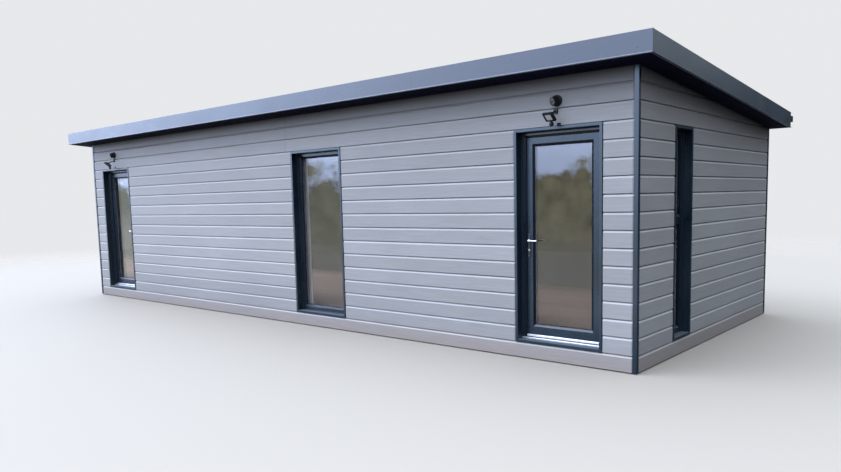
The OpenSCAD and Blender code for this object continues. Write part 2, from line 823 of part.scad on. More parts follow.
// Camera: a round base on the wall, with a ball that points its lens ring outwards, down and to
// the left
module camera() {
  translate([0, 0, camera_z]) {
    rotate([90, 0, 0]) cylinder(r = camera_r, h = camera_base_t);
    difference() {
      translate([0, -camera_out, 0]) rotate([90 + camera_tilt, 0, -camera_turn]) {
        sphere(r = camera_ball_r);
        difference() {
          cylinder(r = lens_r, h = camera_ball_r + 2);
          translate([0, 0, camera_ball_r - 1]) cylinder(r = lens_r - 4, h = 4);
        }
      }
      translate([-camera_r, 0, -camera_r])
        cube([2 * camera_r, camera_ball_r, 2 * camera_r]);
    }
  }
}

module cameras() {
  color([0.06, 0.06, 0.07]) for (x = [-door_x, door_x]) at_front(x + camera_x) camera();
}

base_frame();
floor_boards();
front_left_pier();
front_left_panel();
front_right_panel();
front_right_pier();
front_header();
back_wall();
left_wall();
right_wall();
front_cladding();
back_cladding();
left_cladding();
right_cladding();
corner_trims();
left_door_trim();
right_door_trim();
window_trim();
slit_trims();
left_door_frame();
right_door_frame();
thresholds();
left_door_leaf();
right_door_leaf();
left_door_glass();
right_door_glass();
left_door_plates();
right_door_plates();
left_door_lever();
right_door_lever();
window_frame();
window_glass();
slit_frames();
slit_glass();
roof_deck();
roof_sheet();
front_fascia();
back_fascia();
end_fascias();
soffit();
gutter();
downpipe();
floodlights();
cameras();
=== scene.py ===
import math
import random

import bmesh
import bpy
from mathutils import Matrix, Vector


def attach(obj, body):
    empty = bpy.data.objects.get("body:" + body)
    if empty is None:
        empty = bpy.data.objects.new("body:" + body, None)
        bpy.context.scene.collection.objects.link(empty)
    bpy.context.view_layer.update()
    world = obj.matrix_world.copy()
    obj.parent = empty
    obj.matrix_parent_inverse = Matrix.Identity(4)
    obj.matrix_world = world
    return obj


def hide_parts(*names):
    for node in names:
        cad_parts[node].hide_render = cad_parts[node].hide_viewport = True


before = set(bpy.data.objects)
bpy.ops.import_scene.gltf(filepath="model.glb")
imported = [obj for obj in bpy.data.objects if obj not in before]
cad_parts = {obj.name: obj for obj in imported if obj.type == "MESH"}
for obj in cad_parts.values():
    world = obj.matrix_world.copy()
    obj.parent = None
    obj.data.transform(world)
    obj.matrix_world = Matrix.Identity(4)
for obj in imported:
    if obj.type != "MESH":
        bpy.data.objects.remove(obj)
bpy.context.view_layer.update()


# Timber base: treated joists and rim boards, sawn square, screwed together and laid on the ground.
# The cladding hides all but its foot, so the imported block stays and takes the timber's finish.
def new_finish(name, **plain):
    """A material with its plain settings, and its nodes."""
    material = bpy.data.materials.new(name)
    material.use_nodes = True
    tree = material.node_tree
    for socket, value in plain.items():
        tree.nodes["Principled BSDF"].inputs[socket.replace("_", " ")].default_value = value
    return material, tree


def wire(tree, kind, inputs=(), **settings):
    """One node; an input is a value or another node's output."""
    node = tree.nodes.new("ShaderNode" + kind)
    for name, value in settings.items():
        setattr(node, name, value)
    for socket, value in dict(inputs).items():
        if isinstance(value, bpy.types.NodeSocket):
            tree.links.new(value, node.inputs[socket])
        else:
            node.inputs[socket].default_value = value
    return node


def spot(tree):
    """Each point's place on the piece, in metres."""
    return wire(tree, "TexCoord").outputs["Object"]


def waves(tree, per_metre, detail=3.0, rough=0.55):
    """Noise with that many waves a metre, the same or one each along X, Y and Z."""
    if not isinstance(per_metre, tuple):
        per_metre = (per_metre,) * 3
    scaled = wire(tree, "VectorMath", {0: spot(tree), 1: per_metre}, operation="MULTIPLY")
    return wire(tree, "TexNoise", {
        "Vector": scaled.outputs[0], "Scale": 1.0, "Detail": detail, "Roughness": rough,
    }).outputs[0]


def ranged(tree, value, low, high, start=0.0, stop=1.0):
    """A value that runs from start to stop as the given one goes from low to high."""
    return wire(tree, "MapRange", {0: value, 1: low, 2: high, 3: start, 4: stop}).outputs[0]


def spread(tree, noise, start=0.0, stop=1.0):
    """Noise, mostly between 0.3 and 0.7, run out from start to stop."""
    return ranged(tree, noise, 0.3, 0.7, start, stop)


def blended(tree, share, one, two, how="MIX"):
    """A mix of two colours, as numbers or as a node's output."""
    one, two = ((*c, 1) if isinstance(c, tuple) else c for c in (one, two))
    mix = wire(tree, "Mix", {0: share, 6: one, 7: two}, data_type="RGBA", blend_type=how)
    return mix.outputs[2]


def relief(tree, height, depth, **over):
    """A relief of that depth in metres."""
    bump = {"Height": height, "Distance": depth, "Strength": 1.0, **over}
    return wire(tree, "Bump", bump).outputs[0]


def lay_on(material, *values):
    """The finish, with its colour, roughness and relief."""
    tree = material.node_tree
    for socket, value in zip(("Base Color", "Roughness", "Normal"), values):
        tree.links.new(value, tree.nodes["Principled BSDF"].inputs[socket])
    return material


def textured(name, deep, pale, tone, grain, depth, rough, **plain):
    """A finish that drifts between two tones and has a fine relief."""
    material, tree = new_finish(name, **plain)
    drift = ranged(tree, waves(tree, tone, 4.0), 0.32, 0.68)
    height = waves(tree, grain, 4.0, 0.65)
    return lay_on(
        material, blended(tree, drift, deep, pale), spread(tree, height, *rough),
        relief(tree, height, depth),
    )


def dress(material, *nodes):
    """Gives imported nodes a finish."""
    for node in nodes:
        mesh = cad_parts[node].data
        mesh.materials.clear()
        mesh.materials.append(material)


dress(textured(
    "treated timber", (0.12, 0.095, 0.065), (0.25, 0.2, 0.135), (2, 2, 60), (3, 3, 220), 0.0008,
    (0.65, 0.9),
), "base_frame")


# Insulated wall and roof panels: white lining boards inside, filled and painted with a roller,
# and a black breather membrane stapled to the outside of the walls behind the cladding.
outside_x, outside_y = 5.26, 2.02


def split(tree, vector):
    """Its X, Y and Z."""
    return wire(tree, "SeparateXYZ", {0: vector}).outputs


def reckon(tree, how, *values, **settings):
    """A sum."""
    return wire(tree, "Math", dict(enumerate(values)), operation=how, **settings).outputs[0]


def painted_lining():
    """Painted boards, black with membrane on the outer faces."""
    material, tree = new_finish("painted lining")
    out = split(tree, wire(tree, "VectorMath", {0: spot(tree)}, operation="ABSOLUTE").outputs[0])
    outer = reckon(
        tree, "MAXIMUM", ranged(tree, out[0], outside_x - 0.0005, outside_x - 0.0002),
        ranged(tree, out[1], outside_y - 0.0005, outside_y - 0.0002),
    )
    patchy = ranged(tree, waves(tree, 1.1), 0.35, 0.65)
    paint = blended(tree, patchy, (0.36, 0.34, 0.3), (0.42, 0.4, 0.36))
    stipple = waves(tree, 420, 2.0)
    return lay_on(
        material, blended(tree, outer, paint, (0.006, 0.006, 0.007)),
        spread(tree, stipple, 0.5, 0.7), relief(tree, stipple, 0.0003),
    )


dress(
    painted_lining(), "front_left_pier", "front_left_panel", "front_right_panel",
    "front_right_pier", "front_header", "back_wall", "left_wall", "right_wall", "roof_deck",
)


# Floor: oak laminate planks with eased edges, clicked together in rows along the pod, each row
# starting a third of a plank after the last, over the timber base. Short ones run into the doorways
# and under the window.
plank_l, plank_w, floor_z0, floor_z1, plank_gap, plank_ease = 1288, 193, 190, 208, 0.1, 1.2
room_x, room_y, recess_y, recess_half = 5060, 1820, 1870, 461.9
door_x, window_x = 4455, 940


def loft(rings):
    """A closed solid through equal rings of points, with a flat face at each end."""
    n = len(rings[0])
    points = [tuple(p) for ring in rings for p in ring]
    faces = [list(range(n)), list(range(len(points) - n, len(points)))]
    for start in range(0, len(points) - n, n):
        for i in range(n):
            j = (i + 1) % n
            faces.append([start + i, start + j, start + n + j, start + n + i])
    return points, faces


def build(name, solids, finish, slot, *stands_for, body="shell", under=None, sharp=34):
    """One piece from closed solids in millimetres; a plane may cut off what is above it."""
    points, faces, tones = [], [], []
    chance = random.Random(name)
    for solid_points, solid_faces in solids:
        first = len(points)
        points += [[v * 0.001 for v in p] for p in solid_points]
        faces += [[first + i for i in face] for face in solid_faces]
        tones += [chance.random()] * len(solid_points)
    mesh = bpy.data.meshes.new(name)
    mesh.from_pydata(points, [], faces)
    mesh.attributes.new("length_tone", "FLOAT", "POINT").data.foreach_set("value", tones)
    work = bmesh.new()
    work.from_mesh(mesh)
    if under:
        bmesh.ops.bisect_plane(
            work, geom=work.verts[:] + work.edges[:] + work.faces[:], dist=1e-6,
            plane_co=under[0], plane_no=under[1], clear_outer=True,
        )
        bmesh.ops.holes_fill(work, edges=[e for e in work.edges if e.is_boundary])
    bmesh.ops.recalc_face_normals(work, faces=work.faces)
    work.to_mesh(mesh)
    work.free()
    mesh.polygons.foreach_set("use_smooth", [True] * len(mesh.polygons))
    mesh.set_sharp_from_angle(angle=math.radians(sharp))
    mesh.materials.append(finish)
    piece = bpy.data.objects.new(name, mesh)
    bpy.context.scene.collection.objects.link(piece)
    piece.modifiers.new("flat faces", "WEIGHTED_NORMAL").keep_sharp = True
    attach(piece, body)
    if stands_for:
        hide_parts(*stands_for)


def floor_plank(x0, x1, y0, y1):
    """A plank lying flat, with its upper edges eased."""
    def ring(draw_in, z):
        return [
            (x0 + draw_in, y0 + draw_in, z), (x1 - draw_in, y0 + draw_in, z),
            (x1 - draw_in, y1 - draw_in, z), (x0 + draw_in, y1 - draw_in, z),
        ]
    return loft([
        ring(0, floor_z0), ring(0, floor_z1 - plank_ease),
        ring(plank_ease / 3, floor_z1 - plank_ease / 3), ring(plank_ease, floor_z1),
    ])


def tone_of_length(tree):
    """The tone that each length was given by chance."""
    return wire(tree, "Attribute", attribute_name="length_tone").outputs["Fac"]


def oak_laminate():
    """Printed oak, each plank of its own tone."""
    material, tree = new_finish("oak laminate", Coat_Weight=0.15, Coat_Roughness=0.3)
    figure = waves(tree, (1.6, 22, 4), 6.0, 0.6)
    pores = waves(tree, (9, 420, 9), 3.0, 0.7)
    oak = blended(
        tree, 0.5, blended(tree, spread(tree, figure), (0.26, 0.17, 0.1), (0.42, 0.3, 0.19)),
        blended(tree, tone_of_length(tree), (0.3, 0.21, 0.13), (0.46, 0.34, 0.23)),
    )
    return lay_on(material, oak, spread(tree, pores, 0.32, 0.5), relief(tree, pores, 0.0003))


planks = []
for row in range(math.ceil(2 * room_y / plank_w)):
    y0 = row * plank_w - room_y
    x = -room_x - plank_l * (row % 3) / 3
    while x < room_x:
        ends = max(x, -room_x), min(x + plank_l, room_x)
        if ends[1] - ends[0] > 1:
            planks.append(floor_plank(
                ends[0] + plank_gap, ends[1] - plank_gap, y0 + plank_gap,
                min(y0 + plank_w, room_y) - plank_gap,
            ))
        x += plank_l
for x in (-door_x, window_x, door_x):
    planks.append(floor_plank(x - recess_half, x + recess_half, -recess_y, -room_y))
build("floor_planks", planks, oak_laminate(), "floor", "floor_boards")


# Cladding: light grey composite boards with an embossed wood grain, 165 mm gauge, their top edges
# and ends eased. Each hooks over the tongue of the board below and is clipped to the wall.
pitch, board_t, groove, ground_gap, opening_courses = 165, 20, 10, 12, 13
wall_x, wall_y, corner_leg = 5280, 2040, 40
half_opening, half_slit, slit_y, high_joint_x = 480, 235, -940, 371
shadow_gap, butt_gap, shadow_ease, butt_ease = 4, 1, 6, 2
panel_z, fall = 2784, math.tan(math.radians(4.4))
WALLS = {
    "front": lambda u, d, z: (u, d - wall_y, z),
    "back": lambda u, d, z: (u, wall_y - d, z),
    "left": lambda u, d, z: (d - wall_x, u, z),
    "right": lambda u, d, z: (wall_x - d, u, z),
}


def under_z(y):
    """Height of the underside of the roof panel at that depth."""
    return panel_z - (y + wall_y) * fall


def roof_plane(clear):
    """A plane that far under the roof panel: a point and its normal."""
    return (0, -wall_y / 1000, (panel_z - clear) / 1000), (0, fall, 1)


def rounded(corners, radii, steps=3, closed=True):
    """A line with its corners eased to curves of those radii."""
    corners = [Vector(c) for c in corners]
    if not isinstance(radii, (list, tuple)):
        radii = [radii] * len(corners)
    line = []
    for i, (here, radius) in enumerate(zip(corners, radii)):
        if not radius or not closed and i in (0, len(corners) - 1):
            line.append(here)
            continue
        back, on = corners[i - 1] - here, corners[(i + 1) % len(corners)] - here
        reach = min(radius / math.tan(back.angle(on) / 2), 0.49 * back.length, 0.49 * on.length)
        one, two = here + back.normalized() * reach, here + on.normalized() * reach
        for k in range(steps + 1):
            t = k / steps
            line.append((1 - t) ** 2 * one + 2 * t * (1 - t) * here + t * t * two)
    return line


def board_outline(course):
    """(depth, height) round one board, with its lip and its tongue."""
    z0, z1 = course * pitch + groove / 2, (course + 1) * pitch - groove / 2
    if course == 0:
        z0 = ground_gap
    return rounded(
        [(0, z0), (0, z1 - 17), (9, z1), (15, z1), (15, z1 + 13), (18.5, z1 + 13), (18.5, z1),
         (board_t, z1), (board_t, z0 + 6), (14.5, z0 + 6), (14.5, z0)],
        [1.5, 4, 1.5, 0, 0, 0, 0, 0, 0, 0, 0],
    )


def board(place, course, u0, u1, ease0, ease1):
    """One length of board; the eases draw the face back at its two ends."""
    outline = board_outline(course)
    drawn = [(0, 1), (1.5, 0.7), (10, 0.08), (13, 0)]
    rings = [(u0 + along, ease0 * share) for along, share in drawn]
    rings += [(u1 - along, ease1 * share) for along, share in reversed(drawn)]
    return loft([
        [place(u, d + back * max(0.0, 1 - d / 14.5), z) for d, z in outline] for u, back in rings
    ])


def facing_up(tree):
    """How far a face turns up: 1 where it lies flat."""
    return split(tree, wire(tree, "NewGeometry").outputs["Normal"])[2]


def brightened(tree, colour, times):
    """A colour made that many times as bright."""
    return wire(tree, "VectorMath", {0: colour, "Scale": times}, operation="SCALE").outputs[0]


def composite_board():
    """Upper edges brightened as a painted highlight, splashed at the foot, darkened under the eaves
    as painted shade.
    """
    material, tree = new_finish("composite board", Specular_IOR_Level=0.4)
    cloud = waves(tree, (0.9, 0.9, 2.2))
    figure = waves(tree, (2.4, 2.4, 70), 6.0, 0.7)
    pores = waves(tree, (14, 14, 420), 3.0, 0.6)
    colour = blended(tree, spread(tree, figure), (0.226, 0.219, 0.222), (0.278, 0.269, 0.270))
    tone = reckon(
        tree, "MULTIPLY", ranged(tree, tone_of_length(tree), 0.0, 1.0, 0.93, 1.05),
        spread(tree, cloud, 0.95, 1.04),
    )
    # Painted highlight: faces that turn up, the boards' top bevels, are made up to 1.2 times as
    # bright.
    painted_highlight = ranged(tree, facing_up(tree), 0.2, 0.42, 1.0, 1.2)
    colour = brightened(tree, colour, reckon(tree, "MULTIPLY", tone, painted_highlight))
    _, deep, high = split(tree, spot(tree))
    splash = reckon(
        tree, "MULTIPLY", ranged(tree, high, 0.24, 0.06), spread(tree, cloud, 0.7, 1.0)
    )
    colour = blended(tree, splash, colour, (0.96, 0.83, 0.76), "MULTIPLY")
    # Painted shade under the eaves: the boards darken over the top 160 mm below the roof panel's
    # underside, most at the top.
    eaves = (under_z(0) - 0.3) / 1000
    level = reckon(tree, "MULTIPLY_ADD", deep, fall, high)
    eaves_painted_shade = reckon(tree, "POWER", ranged(tree, level, eaves - 0.16, eaves), 2.0)
    colour = blended(tree, eaves_painted_shade, colour, (0.06, 0.056, 0.056), "MULTIPLY")
    height = reckon(tree, "MULTIPLY_ADD", figure, 0.7, reckon(tree, "MULTIPLY", pores, 0.3))
    return lay_on(
        material, colour, spread(tree, height, 0.42, 0.62), relief(tree, height, 0.0011)
    )


board_finish = composite_board()
end_x, end_y = wall_x - corner_leg, wall_y - corner_leg
front_runs = [
    (-end_x, -door_x - half_opening), (half_opening - door_x, window_x - half_opening),
    (window_x + half_opening, door_x - half_opening), (door_x + half_opening, end_x),
]
front_high_runs = [(-end_x, high_joint_x), (high_joint_x, end_x)]
slit_runs = [(-end_y, slit_y - half_slit), (slit_y + half_slit, end_y)]
back_runs = [
    [(-end_x, -end_x / 2), (-end_x / 2, end_x / 2), (end_x / 2, end_x)],
    [(-end_x, 0), (0, end_x)],
]


def runs_of(wall, course):
    """Where the boards of one course start and stop."""
    beside_openings = 1 <= course <= opening_courses
    if wall == "back":
        return back_runs[course % 2]
    if wall == "front":
        return front_runs if beside_openings else front_high_runs
    return slit_runs if beside_openings else [(-end_y, end_y)]


for wall, place in WALLS.items():
    lengths = []
    for course in range(15 if wall == "back" else 17):
        runs = runs_of(wall, course)
        for u0, u1 in runs:
            ends = []
            for butts in (u0 in [run[1] for run in runs], u1 in [run[0] for run in runs]):
                ends.append((butt_gap, butt_ease) if butts else (shadow_gap, shadow_ease))
            (gap0, ease0), (gap1, ease1) = ends
            lengths.append(board(place, course, u0 + gap0, u1 - gap1, ease0, ease1))
    build(
        wall + "_boards", lengths, board_finish, "cladding", wall + "_cladding",
        under=roof_plane(0.3),
    )


# Corner and opening trims: anthracite powder-coated aluminium, folded on a press. The corner ones
# are angles from the ground to the soffit; the others are mitred round each opening and line it,
# with a bead of black sealant between them and the frame.
proud, flange, liner, reveal = 3, 28, 3, 95
opening_z0, opening_z1 = pitch, (1 + opening_courses) * pitch


def powder_coat(name, deep, pale, rough=(0.34, 0.44), dust=(0.17, 0.175, 0.185), **plain):
    """A fine orange peel, with dust and a painted sheen on what faces up."""
    material, tree = new_finish(name, **plain)
    peel = waves(tree, 700, 2.0)
    film = waves(tree, (1.7, 1.7, 2.6), 4.0)
    sway = waves(tree, (1.3, 1.3, 3.1), 1.0)
    up = facing_up(tree)
    # What faces up turns towards the dust colour: real dust, and on the dark coats also a painted
    # sheen of light from above.
    dust_and_sheen = reckon(tree, "MULTIPLY", ranged(tree, up, 0.25, 0.6), spread(tree, film, 0.75, 1.0))
    coat = blended(tree, spread(tree, film), deep, pale)
    matt = reckon(tree, "ADD", ranged(tree, up, 0.6, 0.9, 0.0, 0.5), spread(tree, film, *rough))
    return lay_on(
        material, blended(tree, dust_and_sheen, coat, dust), matt,
        relief(tree, peel, 0.00006, Normal=relief(tree, sway, 0.0006)),
    )


def mitred(place, edges, outline, bars="blrt", seam=0.15):
    """Mitred bars round a rectangle; the outline is (inwards, depth)."""
    u0, u1, z0, z1 = edges

    def corner(bar, end, a):
        """A point that far inwards, at the start or end of a bar."""
        if bar in "bt":
            return u1 - a - seam if end else u0 + a + seam, z0 + a if bar == "b" else z1 - a
        foot = z0 + a + seam if "b" in bars else z0
        return u0 + a if bar == "l" else u1 - a, z1 - a - seam if end else foot

    made = []
    for bar in bars:
        rings = []
        for end in (0, 1):
            points = [(*corner(bar, end, a), d) for a, d in outline]
            rings.append([place(u, d, z) for u, z, d in points])
        made.append(loft(rings))
    return made


trim_coat = powder_coat(
    "anthracite trim coat", (0.0015, 0.007, 0.015), (0.004, 0.011, 0.021), (0.26, 0.36),
    (0.04, 0.046, 0.055), Specular_IOR_Level=0.9, Specular_Tint=(0.8, 0.93, 1.0, 1.0),
)
gasket_rubber = textured(
    "black rubber", (0.003, 0.004, 0.008), (0.007, 0.008, 0.014), 9, 300, 0.0001, (0.5, 0.7),
    Specular_IOR_Level=0.3,
)
trim_outline = rounded(
    [(0, -proud), (flange, -proud), (flange, reveal), (flange - liner, reveal),
     (flange - liner, board_t), (0, board_t)],
    [1.2, 1.5, 0, 0, 0, 0],
)
sealant_outline = rounded(
    [(flange + 0.1, reveal - 0.1), (flange + 0.1, reveal - 10), (flange + 10, reveal - 0.1)],
    [0, 1, 1], 2,
)
openings = {
    "left_door": ("front", -door_x, half_opening), "window": ("front", window_x, half_opening),
    "right_door": ("front", door_x, half_opening), "left_slit": ("left", slit_y, half_slit),
    "right_slit": ("right", slit_y, half_slit),
}


def lined(name, outline, bars="blrt"):
    """Mitred strips round one of the openings."""
    wall, middle, half = openings[name]
    return mitred(
        WALLS[wall], (middle - half, middle + half, opening_z0, opening_z1), outline, bars
    )


for name in openings:
    node = "slit_trims" if "slit" in name else name + "_trim"
    build(name + "_trim_sheet", lined(name, trim_outline), trim_coat, "trim", node)
for name in openings:
    strips = lined(name, sealant_outline, "lrt" if "door" in name else "blrt")
    build(name + "_sealant", strips, gasket_rubber, "trim")
leg, angle_t, angle_top = corner_leg + proud, board_t + proud, 2900
angle_outline = rounded(
    [(0, 0), (-leg, 0), (-leg, -angle_t), (-angle_t, -angle_t), (-angle_t, -leg), (0, -leg)],
    [2.5, 1.2, 0, 0, 0, 1.2],
)
build(
    "corner_angles", [
        loft([
            [(sx * (wall_x + proud + a), sy * (wall_y + proud + b), z) for a, b in angle_outline]
            for z in (ground_gap, angle_top)
        ]) for sx in (-1, 1) for sy in (-1, 1)
    ], trim_coat, "trim", "corner_trims", under=roof_plane(0.2),
)


# Window and slit windows: welded frames, anthracite outside and white inside, with a sloping outer
# bead, set at the back of the reveal; the slit windows have a transom. None of them opens. White
# boards line the wall behind them.
frame_d, sight, glass_t, bead_w, glass_lap = 75, 74, 24, 20, 12
frame_half, slit_half, frame_z0, frame_z1 = 462, 217, 190, 2292
transom_z, transom_half = 1370, 59
frame_coat = powder_coat(
    "anthracite frame coat", (0.003, 0.010, 0.020), (0.006, 0.015, 0.027), (0.22, 0.32),
    Specular_IOR_Level=0.77, Specular_Tint=(0.8, 0.93, 1.0, 1.0),
)
white_coat = powder_coat(
    "white inside coat", (0.72, 0.72, 0.71), (0.8, 0.8, 0.79), (0.3, 0.4), (0.7, 0.69, 0.67),
)
# Beads and door stops take a darker copy of the anthracite coat, painted shade and dark reflection
# for the bands round the lights and in the rebates; the leaf beads' paler dust colour is partly a
# painted sheen on their upward faces.
painted_shade_bead_coat, painted_shade_leaf_bead_coat = (
    powder_coat(
        f"anthracite {part} coat", (0.001, 0.003, 0.007), (0.002, 0.005, 0.011), (0.24, 0.32),
        dust, Specular_IOR_Level=0.22,
    ) for part, dust in (("bead", (0.05, 0.054, 0.06)), ("leaf bead", (0.14, 0.148, 0.16)))
)


def into(place, deep, up=0):
    """The same place, set deeper into the wall and higher."""
    return lambda u, d, z: place(u, d + deep, z + up)


def grown(edges, by):
    """The edges of a rectangle, moved outwards."""
    u0, u1, z0, z1 = edges
    return u0 - by, u1 + by, z0 - by, z1 + by


def outer_outline(face, depth):
    """The outer half of a bar: its face and the seat of its bead."""
    y0 = (depth - glass_t) / 2
    return rounded(
        [(0, 0), (face - bead_w, 0), (face - bead_w, y0 - 2), (face - 15, y0 - 2),
         (face - 15, y0 + 12), (0, y0 + 12)],
        [0.5, 2, 0, 0, 0, 0], 2,
    )


def inner_outline(face, depth):
    """The inner half of a bar, with an eased inside."""
    y0 = (depth + glass_t) / 2
    return rounded(
        [(0, y0 - 11.9), (face - 15, y0 - 11.9), (face - 15, y0), (face, y0), (face, depth - 5),
         (face - 10, depth), (0, depth)],
        [0, 0, 0, 0, 2, 2, 0.5], 2,
    )


def transom(place, u0, u1, half):
    """A bar across a frame, glazed above and below."""
    ring = half + [Vector((-a, d)) for a, d in reversed(half)]
    ring = [p for p in ring if abs(p.x) > 0.6]
    return loft([[place(u, d, transom_z + a) for a, d in ring] for u in (u0, u1)])


def bead(name, place, light, depth, finish=painted_shade_bead_coat, body="shell"):
    """The sloping beads round a light."""
    y0 = (depth - glass_t) / 2
    slope = rounded(
        [(0.1, 2), (bead_w, 13), (bead_w, y0), (5.1, y0), (5.1, y0 - 2.1), (0.1, y0 - 2.1)],
        [0.8, 1.2, 0, 0, 0, 0], 2,
    )
    bars = mitred(place, grown(light, bead_w), slope)
    build(name + "_beads", bars, finish, "frame", body=body)


frames = {
    name: ((middle - half, middle + half, frame_z0, frame_z1), WALLS[wall])
    for name, wall, middle, half in (
        ("window", "front", window_x, frame_half), ("left_slit", "left", slit_y, slit_half),
        ("right_slit", "right", slit_y, slit_half),
    )
}
lights = {"window": (grown(frames["window"][0], -sight), WALLS["front"])}
for side in ("left", "right"):
    u0, u1, z0, z1 = grown(frames[side + "_slit"][0], -sight)
    for part, foot, head in (
        ("lower", z0, transom_z - transom_half), ("upper", transom_z + transom_half, z1),
    ):
        lights[f"{side}_slit_{part}"] = (u0, u1, foot, head), WALLS[side]
for half, finish, outline in (
    ("outer", frame_coat, outer_outline), ("inner", white_coat, inner_outline),
):
    for name, (edges, wall) in frames.items():
        place, slit = into(wall, reveal), "slit" in name
        bars = mitred(place, edges, outline(sight, frame_d))
        if slit:
            bars.append(transom(
                place, edges[0] + sight - 0.2, edges[1] - sight + 0.2,
                outline(transom_half, frame_d),
            ))
        build(
            f"{name}_{half}_bars", bars, finish, "frame", "slit_frames" if slit else "window_frame"
        )
for name, (light, wall) in lights.items():
    bead(name, into(wall, reveal), light, frame_d)
lining_outline = rounded([(0.2, 0.2), (70, 0.2), (70, 50), (0.2, 50)], [0, 2, 2, 0], 2)
for name, ((u0, u1, z0, z1), wall) in frames.items():
    lining = mitred(
        into(wall, reveal + frame_d), (u0, u1, floor_z1 + 0.2, z1), lining_outline, "lrt"
    )
    build(name + "_lining_boards", lining, white_coat, "frame")


# Glazing: sealed units of two clear panes with a grey spacer bar between them, held by black
# rubber gaskets under the beads.
pane_t = 4


def show_mix(tree, share, one, two):
    """Ends a finish in a mix of two shaders."""
    mix = wire(tree, "MixShader", {0: share, 1: one.outputs[0], 2: two.outputs[0]})
    tree.links.new(mix.outputs[0], tree.get_output_node("ALL").inputs["Surface"])


def clear_glass():
    """Lets light straight through and mirrors more at a slant."""
    material, tree = new_finish("clear glass")
    tree.nodes.remove(tree.nodes["Principled BSDF"])
    faint = waves(tree, 0.8, 2.0)
    gloss = wire(tree, "BsdfGlossy", {
        "Color": (0.93, 0.97, 1.0, 1), "Roughness": 0.012, "Normal": relief(tree, faint, 0.0012),
    })
    tint = blended(tree, spread(tree, faint), (0.9, 0.885, 0.875), (0.93, 0.92, 0.905))
    through = wire(tree, "BsdfTransparent", {"Color": tint})
    inward = wire(tree, "NewGeometry").outputs["Backfacing"]
    falling = wire(tree, "LightPath").outputs["Is Diffuse Ray"]
    front = reckon(tree, "SUBTRACT", 1.0, reckon(tree, "MAXIMUM", inward, falling))
    rim = wire(tree, "Fresnel", {"IOR": 1.5}).outputs[0]
    share = reckon(tree, "MULTIPLY", rim, 2.2, use_clamp=True)
    show_mix(tree, reckon(tree, "MULTIPLY", share, front), through, gloss)
    return material


def pane(place, edges, depth, arris=0.8):
    """A sheet of glass with ground edges."""
    def ring(draw_in, d):
        u0, u1, z0, z1 = grown(edges, -draw_in)
        return [place(u, d, z) for u, z in ((u0, z0), (u1, z0), (u1, z1), (u0, z1))]
    back = depth + pane_t
    return loft([
        ring(arris, depth), ring(0, depth + arris), ring(0, back - arris), ring(arris, back)
    ])


glass = clear_glass()
spacer_bar = textured(
    "spacer bar", (0.3, 0.31, 0.32), (0.38, 0.39, 0.4), 6, 180, 0.00005, (0.35, 0.5),
    Metallic=0.5,
)
spacer_outline = [(3, 4.2), (12.5, 4.2), (12.5, 19.8), (3, 19.8)]
front_gasket = rounded(
    [(12, -4.5), (17, -3.5), (18.2, -0.1), (12, -0.1)], [0.6, 1.2, 0.8, 0], 2
)
back_gasket = [(a, glass_t - d) for a, d in front_gasket]


def glaze(name, place, light, node, body="shell"):
    """One sealed unit, which laps the bars round a light."""
    edges = grown(light, glass_lap)
    panes = [pane(place, edges, depth) for depth in (0, glass_t - pane_t)]
    build(name + "_panes", panes, glass, "glass", node, body=body)
    build(name + "_spacer", mitred(place, edges, spacer_outline), spacer_bar, "glass", body=body)
    rubber = mitred(place, edges, front_gasket) + mitred(place, edges, back_gasket)
    build(name + "_gaskets", rubber, gasket_rubber, "frame", body=body)


for name, (light, wall) in lights.items():
    glaze(
        name, into(wall, reveal + (frame_d - glass_t) / 2), light,
        "slit_glass" if "slit" in name else "window_glass",
    )


# Door frames: the same coated bars on three sides, rebated so that the leaf shuts against a stop
# with a rubber seal. The lower halves of three hinges and their pins are screwed to the hinge jamb.
doors = ((-1, "left"), (1, "right"))
hinge_u, hinge_d, hinge_heights, flag_d, flag_t = 416, 179, (463, 1242.5, 2022), 170, 2.8


def door_place(side):
    """Places (along the wall from a door's middle, into it, up)."""
    return lambda u, d, z: (side * (door_x + u), d - wall_y, z)


def axis(start, along, across=(0, 0, 1)):
    """Places (a, b, s): s runs along a line, a and b lie across it."""
    w = Vector(along).normalized()
    v = w.cross(Vector(across)).normalized()
    u = v.cross(w)
    return lambda a, b, s: Vector(start) + a * u + b * v + s * w


def turned(place, profile, steps=24):
    """A round solid: the profile gives (radius, distance along)."""
    turns = [math.tau * k / steps for k in range(steps)]
    return loft([
        [place(r * math.cos(t), r * math.sin(t), s) for t in turns] for r, s in profile
    ])


def plate(place, wide, high, radius, stages, steps=4):
    """A flat solid with round corners; each stage is (drawn in, along)."""
    rings = []
    for draw_in, s in stages:
        a, b = wide / 2 - draw_in, high / 2 - draw_in
        ring = rounded([(-a, -b), (a, -b), (a, b), (-a, b)], max(radius - draw_in, 0.05), steps)
        rings.append([place(p.x, p.y, s) for p in ring])
    return loft(rings)


def screw_head(start, out, radius):
    """A raised screw head with a round drive recess."""
    return turned(axis(start, out), [
        (radius, 0), (radius * 0.96, 0.5), (radius * 0.8, 1.3), (radius * 0.5, 1.7),
        (radius * 0.42, 1.5), (radius * 0.3, 0.6), (0.1, 0.5),
    ], 16)


def hinge_halves(at, way, knuckle, flag_u, flag_w, screw_u):
    """The halves of a door's hinges that lie above (1) or below (-1), and their screws."""
    metal, screws = [], []
    for z in hinge_heights:
        line = axis(at(hinge_u, hinge_d, z + way * 0.5), (0, 0, way), (1, 0, 0))
        metal += [turned(line, profile) for profile in knuckle]
        z += way * 23
        flag = axis(at(flag_u, flag_d, z), (0, 1, 0))
        metal.append(plate(flag, 44, flag_w, 3, [(0, 0), (0, 2.2), (0.8, 3)]))
        screws += [
            screw_head(at(screw_u, flag_d + flag_t, z + k), (0, 1, 0), 3.2) for k in (-14, 14)
        ]
    return metal, screws


